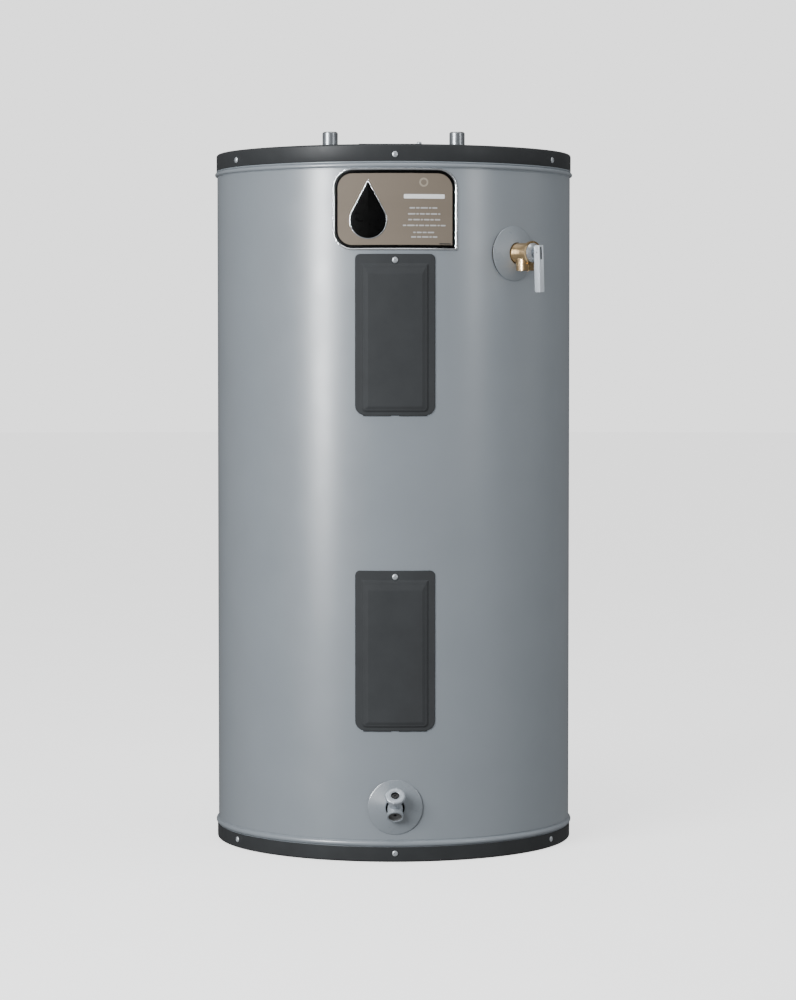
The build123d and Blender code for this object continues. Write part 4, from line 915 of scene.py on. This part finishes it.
# ---------------------------------------------------------------- relief valve
bonnet_profile = [
    (12.3, 44),
    (12.3, 47.6),
    (15.6, 47.6),
    (16, 47.9),
    (16, 48.5),
    *arc(2.6, 40.0, 15.7, 36, 62, 5),
    (9.4, 51.35),
    (6.8, 51.5),
    (6.4, 50.9),
    (4.4, 50.9),
    (4.0, 51.5),
    (2.6, 51.5),
    (2.6, 43.2),
    (10.6, 43.2),
]
bonnet = lathe("relief_dome", bonnet_profile, RELIEF, segments=96, ring=True)
finish_piece(bonnet, "plain_steel", ["relief_bonnet"])

LEVER_BACK, LEVER_FRONT = 55.8, 68.0
LEVER_HALF = 5.0
LEVER_TOP, LEVER_BOTTOM = 12.0, -65.0
LEVER_WALL = 1.1
LEVER_TIP_R, LEVER_EDGE_R, LEVER_HEEL_R = 3.6, 0.4, 4.2
LEVER_LEAN, LEVER_SHIFT = 2.2, 0.6
SLOT_HALF, SLOT_LOW, SLOT_HIGH, SLOT_CORNER = 2.2, -11.5, 9.5, 1.6
# half width, limits and corner radius of the dark plate that paints shade behind the lever's slot
SHADOW_PLATE_HALF, SHADOW_PLATE_LOW, SHADOW_PLATE_HIGH, SHADOW_PLATE_CORNER = 3.4, -13.5, 10.8, 1.2
PIN_REACH, PIN_HOLE_R = 63.0, 1.55


def softened(thing, width):
    """Bevel the sharp edges, applied."""
    change = thing.modifiers.new("soften", "BEVEL")
    change.width = width * MM
    change.segments = 2
    change.limit_method = "ANGLE"
    change.angle_limit = radians(40)
    change.harden_normals = False
    apply_modifiers(thing)
    shade(thing.data, 30)
    return thing


BRIGHT_PLATE = surface(
    "bright_plate", grey(0.78, 0.07), grey(0.82, 0.07), (0.28, 0.33), 0.25, 60, 1500, 0.003
)
lever_place = turned(RELIEF @ Matrix.Translation((-LEVER_SHIFT, 0, 0)), LEVER_LEAN)
lever_side = lever_place @ Matrix(((0, 0, -1, 0), (0, 1, 0, 0), (1, 0, 0, 0), (0, 0, 0, 1)))
lever_outline = [
    *arc(LEVER_BACK + LEVER_TIP_R, LEVER_BOTTOM + LEVER_TIP_R, LEVER_TIP_R, 180, 270),
    *arc(LEVER_FRONT - LEVER_EDGE_R, LEVER_BOTTOM + LEVER_EDGE_R, LEVER_EDGE_R, 270, 360, 3),
    *arc(LEVER_FRONT - LEVER_EDGE_R, LEVER_TOP - LEVER_EDGE_R, LEVER_EDGE_R, 0, 90, 3),
    *arc(LEVER_BACK + LEVER_HEEL_R, LEVER_TOP - LEVER_HEEL_R, LEVER_HEEL_R, 90, 180),
]
lever = prism("relief_handle", lever_outline, -LEVER_HALF, LEVER_HALF, lever_side)
hollow_half = LEVER_HALF - LEVER_WALL
hollow = [
    (LEVER_BACK - 1, LEVER_BOTTOM - 1),
    (LEVER_FRONT - LEVER_WALL, LEVER_BOTTOM - 1),
    (LEVER_FRONT - LEVER_WALL, LEVER_TOP + 1),
    (LEVER_BACK - 1, LEVER_TOP + 1),
]
slot_outline = rounded_outline(SLOT_HALF, SLOT_LOW, SLOT_HIGH, (SLOT_CORNER,) * 4)
pin_place = RELIEF @ Matrix.Translation((0, 0, PIN_REACH)) @ Matrix.Rotation(pi / 2, 4, "Y")
cut(lever, prism("cutter", hollow, -hollow_half, hollow_half, lever_side))
cut(lever, prism("cutter", slot_outline, LEVER_FRONT - 2, LEVER_FRONT + 1, lever_place))
cut(lever, bar(PIN_HOLE_R, -CUT_REACH, CUT_REACH, pin_place))
finish_piece(
    softened(lever, 0.3), "plain_steel", ["relief_lever"], "relief_lever_group", BRIGHT_PLATE
)
# dark plate inside the channel behind the slot: painted shade of the hollow lever
shadow_plate_outline = rounded_outline(SHADOW_PLATE_HALF, SHADOW_PLATE_LOW, SHADOW_PLATE_HIGH, (SHADOW_PLATE_CORNER,) * 4)
slot_shadow_plate = prism("lever_slot_shadow", shadow_plate_outline, LEVER_FRONT - 1.45, LEVER_FRONT - 0.9, lever_place)
finish_piece(softened(slot_shadow_plate, 0.1), "dark_plastic", (), "relief_lever_group")

SPRING_LOW, SPRING_HIGH, SPRING_TURNS = 22.7, 47.8, 6
SPRING_R, SPRING_WIRE = 7.5, 0.9
STEPS_PER_TURN, WIRE_SIDES = 36, 12


def coil_loops():
    """Circles of wire along the valve spring's helix, with a flat end at each side."""
    rise = SPRING_HIGH - SPRING_LOW - 2 * SPRING_WIRE
    steps = STEPS_PER_TURN * SPRING_TURNS
    loops = []
    for step in range(steps + 1):
        turn = tau * step / STEPS_PER_TURN
        height = SPRING_LOW + SPRING_WIRE + rise * step / steps
        loop = []
        for i in range(WIRE_SIDES):
            side = tau * i / WIRE_SIDES
            reach = SPRING_R + SPRING_WIRE * cos(side)
            point = Vector((reach * cos(turn), reach * sin(turn), height + SPRING_WIRE * sin(side)))
            loop.append(RELIEF @ point)
        loops.append(loop)
    return loops


spring_verts, spring_faces = stitch(coil_loops())
spring_end = len(spring_verts)
spring_faces += [tuple(range(WIRE_SIDES)), tuple(range(spring_end - WIRE_SIDES, spring_end))]
spring = make_object("relief_coil", spring_verts, spring_faces)
finish_piece(spring, "spring_steel", ["relief_spring"])
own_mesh(spring)

# ---------------------------------------------------------------- drain valve
DRAIN_CENTRE = DRAIN @ Vector((0, 0, 16))
HANDLE = place_matrix(DRAIN_CENTRE, (0, -1, 1))
SPOUT = place_matrix(DRAIN_CENTRE, (0, -1, -1))
WHEEL_R, WHEEL_TOP = 16.3, 36.0
LOBES = range(-8, 352, 90)
LOBE_WIDTH = 5.0


def wheel_loop(radius, height, lobe=0.0):
    """Circle about the handle's axis with four small lobes."""
    points = []
    for angle in range(0, 360, 2):
        away = min(abs((angle - middle + 180) % 360 - 180) for middle in LOBES)
        reach = radius + lobe * exp(-((away / LOBE_WIDTH) ** 2))
        turn = radians(angle)
        points.append(HANDLE @ Vector((reach * cos(turn), reach * sin(turn), height)))
    return points


# radius, height on the handle's axis and lobe height of the wheel's contours
wheel_rows = (
    (6.5, 27.25, 0),
    (6.5, 28.8, 0),
    (13.6, 29.0, 0.4),
    (WHEEL_R - 0.9, 29.3, 0.8),
    (WHEEL_R, 30.3, 1.0),
    (WHEEL_R, 33.8, 1.0),
    (WHEEL_R - 0.3, 34.9, 0.9),
    (WHEEL_R - 0.9, 35.6, 0.8),
    (WHEEL_R - 1.8, WHEEL_TOP, 0.6),
    (7.6, WHEEL_TOP, 0),
    (7.1, WHEEL_TOP - 0.35, 0),
    (7.0, WHEEL_TOP - 3.6, 0),
    (3.53, WHEEL_TOP - 3.6, 0),
    (3.53, 27.25, 0),
)
wheel = make_object("drain_wheel", *stitch([wheel_loop(*row) for row in wheel_rows], ring=True))
finish_piece(wheel, "satin_nickel", ["drain_handwheel"], "drain_handle_group")
# dark lining of the wheel's recess: painted shade in the hollow
recess_shade_rows = (
    (6.95, WHEEL_TOP - 0.9),
    (6.95, WHEEL_TOP - 3.5),
    (4.45, WHEEL_TOP - 3.5),
    (4.45, WHEEL_TOP - 3.2),
    (6.3, WHEEL_TOP - 3.2),
    (6.6, WHEEL_TOP - 1.0),
)
recess_shade = lathe("drain_wheel_recess_shade", recess_shade_rows, HANDLE, segments=72, ring=True)
finish_piece(recess_shade, "dark_plastic", (), "drain_handle_group")
bolt_rows = [
    (0, WHEEL_TOP - 3.55),
    (4.3, WHEEL_TOP - 3.55),
    (4.3, WHEEL_TOP - 2.3),
    (3.8, WHEEL_TOP - 1.6),
    (2.4, WHEEL_TOP - 1.45),
    (2.2, WHEEL_TOP - 2.9),
    (0, WHEEL_TOP - 3.0),
]
bolt = lathe("drain_wheel_bolt", bolt_rows, HANDLE, segments=48)
# the bolt takes the dark finish instead of its steel: painted shade at the recess's floor
finish_piece(
    bolt, "plain_steel", ["drain_handwheel_screw"], "drain_handle_group", FINISHES["dark_plastic"]
)
HOSE_END = 17.6
washer_rows = (
    (11.1, HOSE_END - 1.2),
    (11.1, HOSE_END - 4.4),
    (3.0, HOSE_END - 4.4),
    (3.0, HOSE_END - 3.9),
    (10.3, HOSE_END - 3.6),
    (10.7, HOSE_END - 1.3),
)
hose_washer = lathe("hose_washer", washer_rows, SPOUT, segments=72, ring=True)
finish_piece(hose_washer, "rubber", material=FINISHES["conduit_plastic"])

# ---------------------------------------------------------------- camera, light and floor
CAMERA_DISTANCE = 5.3826
CAMERA_HEIGHT = 0.829
CAMERA_TURN = radians(-0.45)
CAMERA_PITCH = radians(2.6035)
CAMERA_LENS = 111.5
CAMERA_SHIFT = 0.0044

camera_data = bpy.data.cameras.new("camera")
camera_data.lens = CAMERA_LENS
camera_data.sensor_width = 36
camera_data.shift_x = CAMERA_SHIFT
camera_data.clip_end = 100
camera = link_object("camera", camera_data)
camera.location = (
    CAMERA_DISTANCE * sin(CAMERA_TURN),
    -CAMERA_DISTANCE * cos(CAMERA_TURN),
    CAMERA_HEIGHT,
)
camera.rotation_euler = (pi / 2 - CAMERA_PITCH, 0, CAMERA_TURN)
bpy.context.scene.camera = camera

LIGHT_TINT = (0.965, 0.985, 1.0)
AIM_HEIGHT = 0.6


def area_light(name, azimuth, height, distance, width, length, power, glossy=True, diffuse=True):
    """Soft rectangular light at an azimuth round the object, aimed at its axis."""
    light = bpy.data.lights.new(name, "AREA")
    light.shape = "RECTANGLE"
    light.size, light.size_y = width, length
    light.energy = power
    light.color = LIGHT_TINT
    lamp = link_object(name, light)
    turn = radians(azimuth)
    lamp.location = (distance * sin(turn), -distance * cos(turn), height)
    aim = Vector((0, 0, AIM_HEIGHT)) - lamp.location
    lamp.rotation_euler = aim.to_track_quat("-Z", "Y").to_euler()
    lamp.visible_glossy = glossy
    lamp.visible_diffuse = diffuse


area_light("strip_light", -45, 1.75, 3.1, 0.42, 2.5, 270, diffuse=False)
area_light("key_light", -31.5, 2.2, 4.6, 2.4, 2.0, 222, glossy=False)
area_light("right_strip", 51, 1.5, 4.2, 0.5, 0.8, 22, diffuse=False)
area_light("side_fill", 98, 1.4, 4.2, 1.6, 1.8, 46, glossy=False)
area_light("top_light", 0, 4.2, 0.8, 2.0, 2.0, 42)

# The world is bright to the camera, softer as fill and darker still in reflections.
SKY_FILL, SKY_SHOWN, SKY_MIRRORED = 0.38, 1.9, 0.12
world = bpy.data.worlds.new("studio")
world.use_nodes = True
sky_tree = world.node_tree
sky = sky_tree.nodes["Background"]
sky.inputs["Color"].default_value = (1, 1, 1, 1)
ray = sky_tree.nodes.new("ShaderNodeLightPath").outputs
glossy_change = spread(sky_tree, ray["Is Glossy Ray"], 0, SKY_MIRRORED - SKY_FILL, 0, 1)
camera_level = spread(sky_tree, ray["Is Camera Ray"], SKY_FILL, SKY_SHOWN, 0, 1)
strength = sky_tree.nodes.new("ShaderNodeMath")
sky_tree.links.new(glossy_change, strength.inputs[0])
sky_tree.links.new(camera_level, strength.inputs[1])
sky_tree.links.new(strength.outputs[0], sky.inputs["Strength"])
bpy.context.scene.world = world

FLOOR_RADIUS, FLOOR_STEPS, FLOOR_GAP = 30.0, 96, 0.0005
FLOOR_GLOW = 1.5
floor_edge = [(x, y, 0) for x, y in circle(FLOOR_RADIUS, FLOOR_STEPS)]
floor_mesh = bpy.data.meshes.new("floor")
floor_mesh.from_pydata(floor_edge, [], [tuple(range(FLOOR_STEPS))])
floor_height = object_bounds()[0].z - FLOOR_GAP
floor = link_object("floor", floor_mesh)
floor.location.z = floor_height
floor_paint = surface("floor_paint", grey(0.76), grey(0.80), (0.8, 0.9), 0.0, 3, 300)
floor_shader = floor_paint.node_tree.nodes["Principled BSDF"]
floor_shader.inputs["Emission Color"].default_value = (1, 1, 1, 1)
floor_shader.inputs["Emission Strength"].default_value = FLOOR_GLOW
floor_mesh.materials.append(floor_paint)
floor.visible_diffuse = False
floor.visible_glossy = False
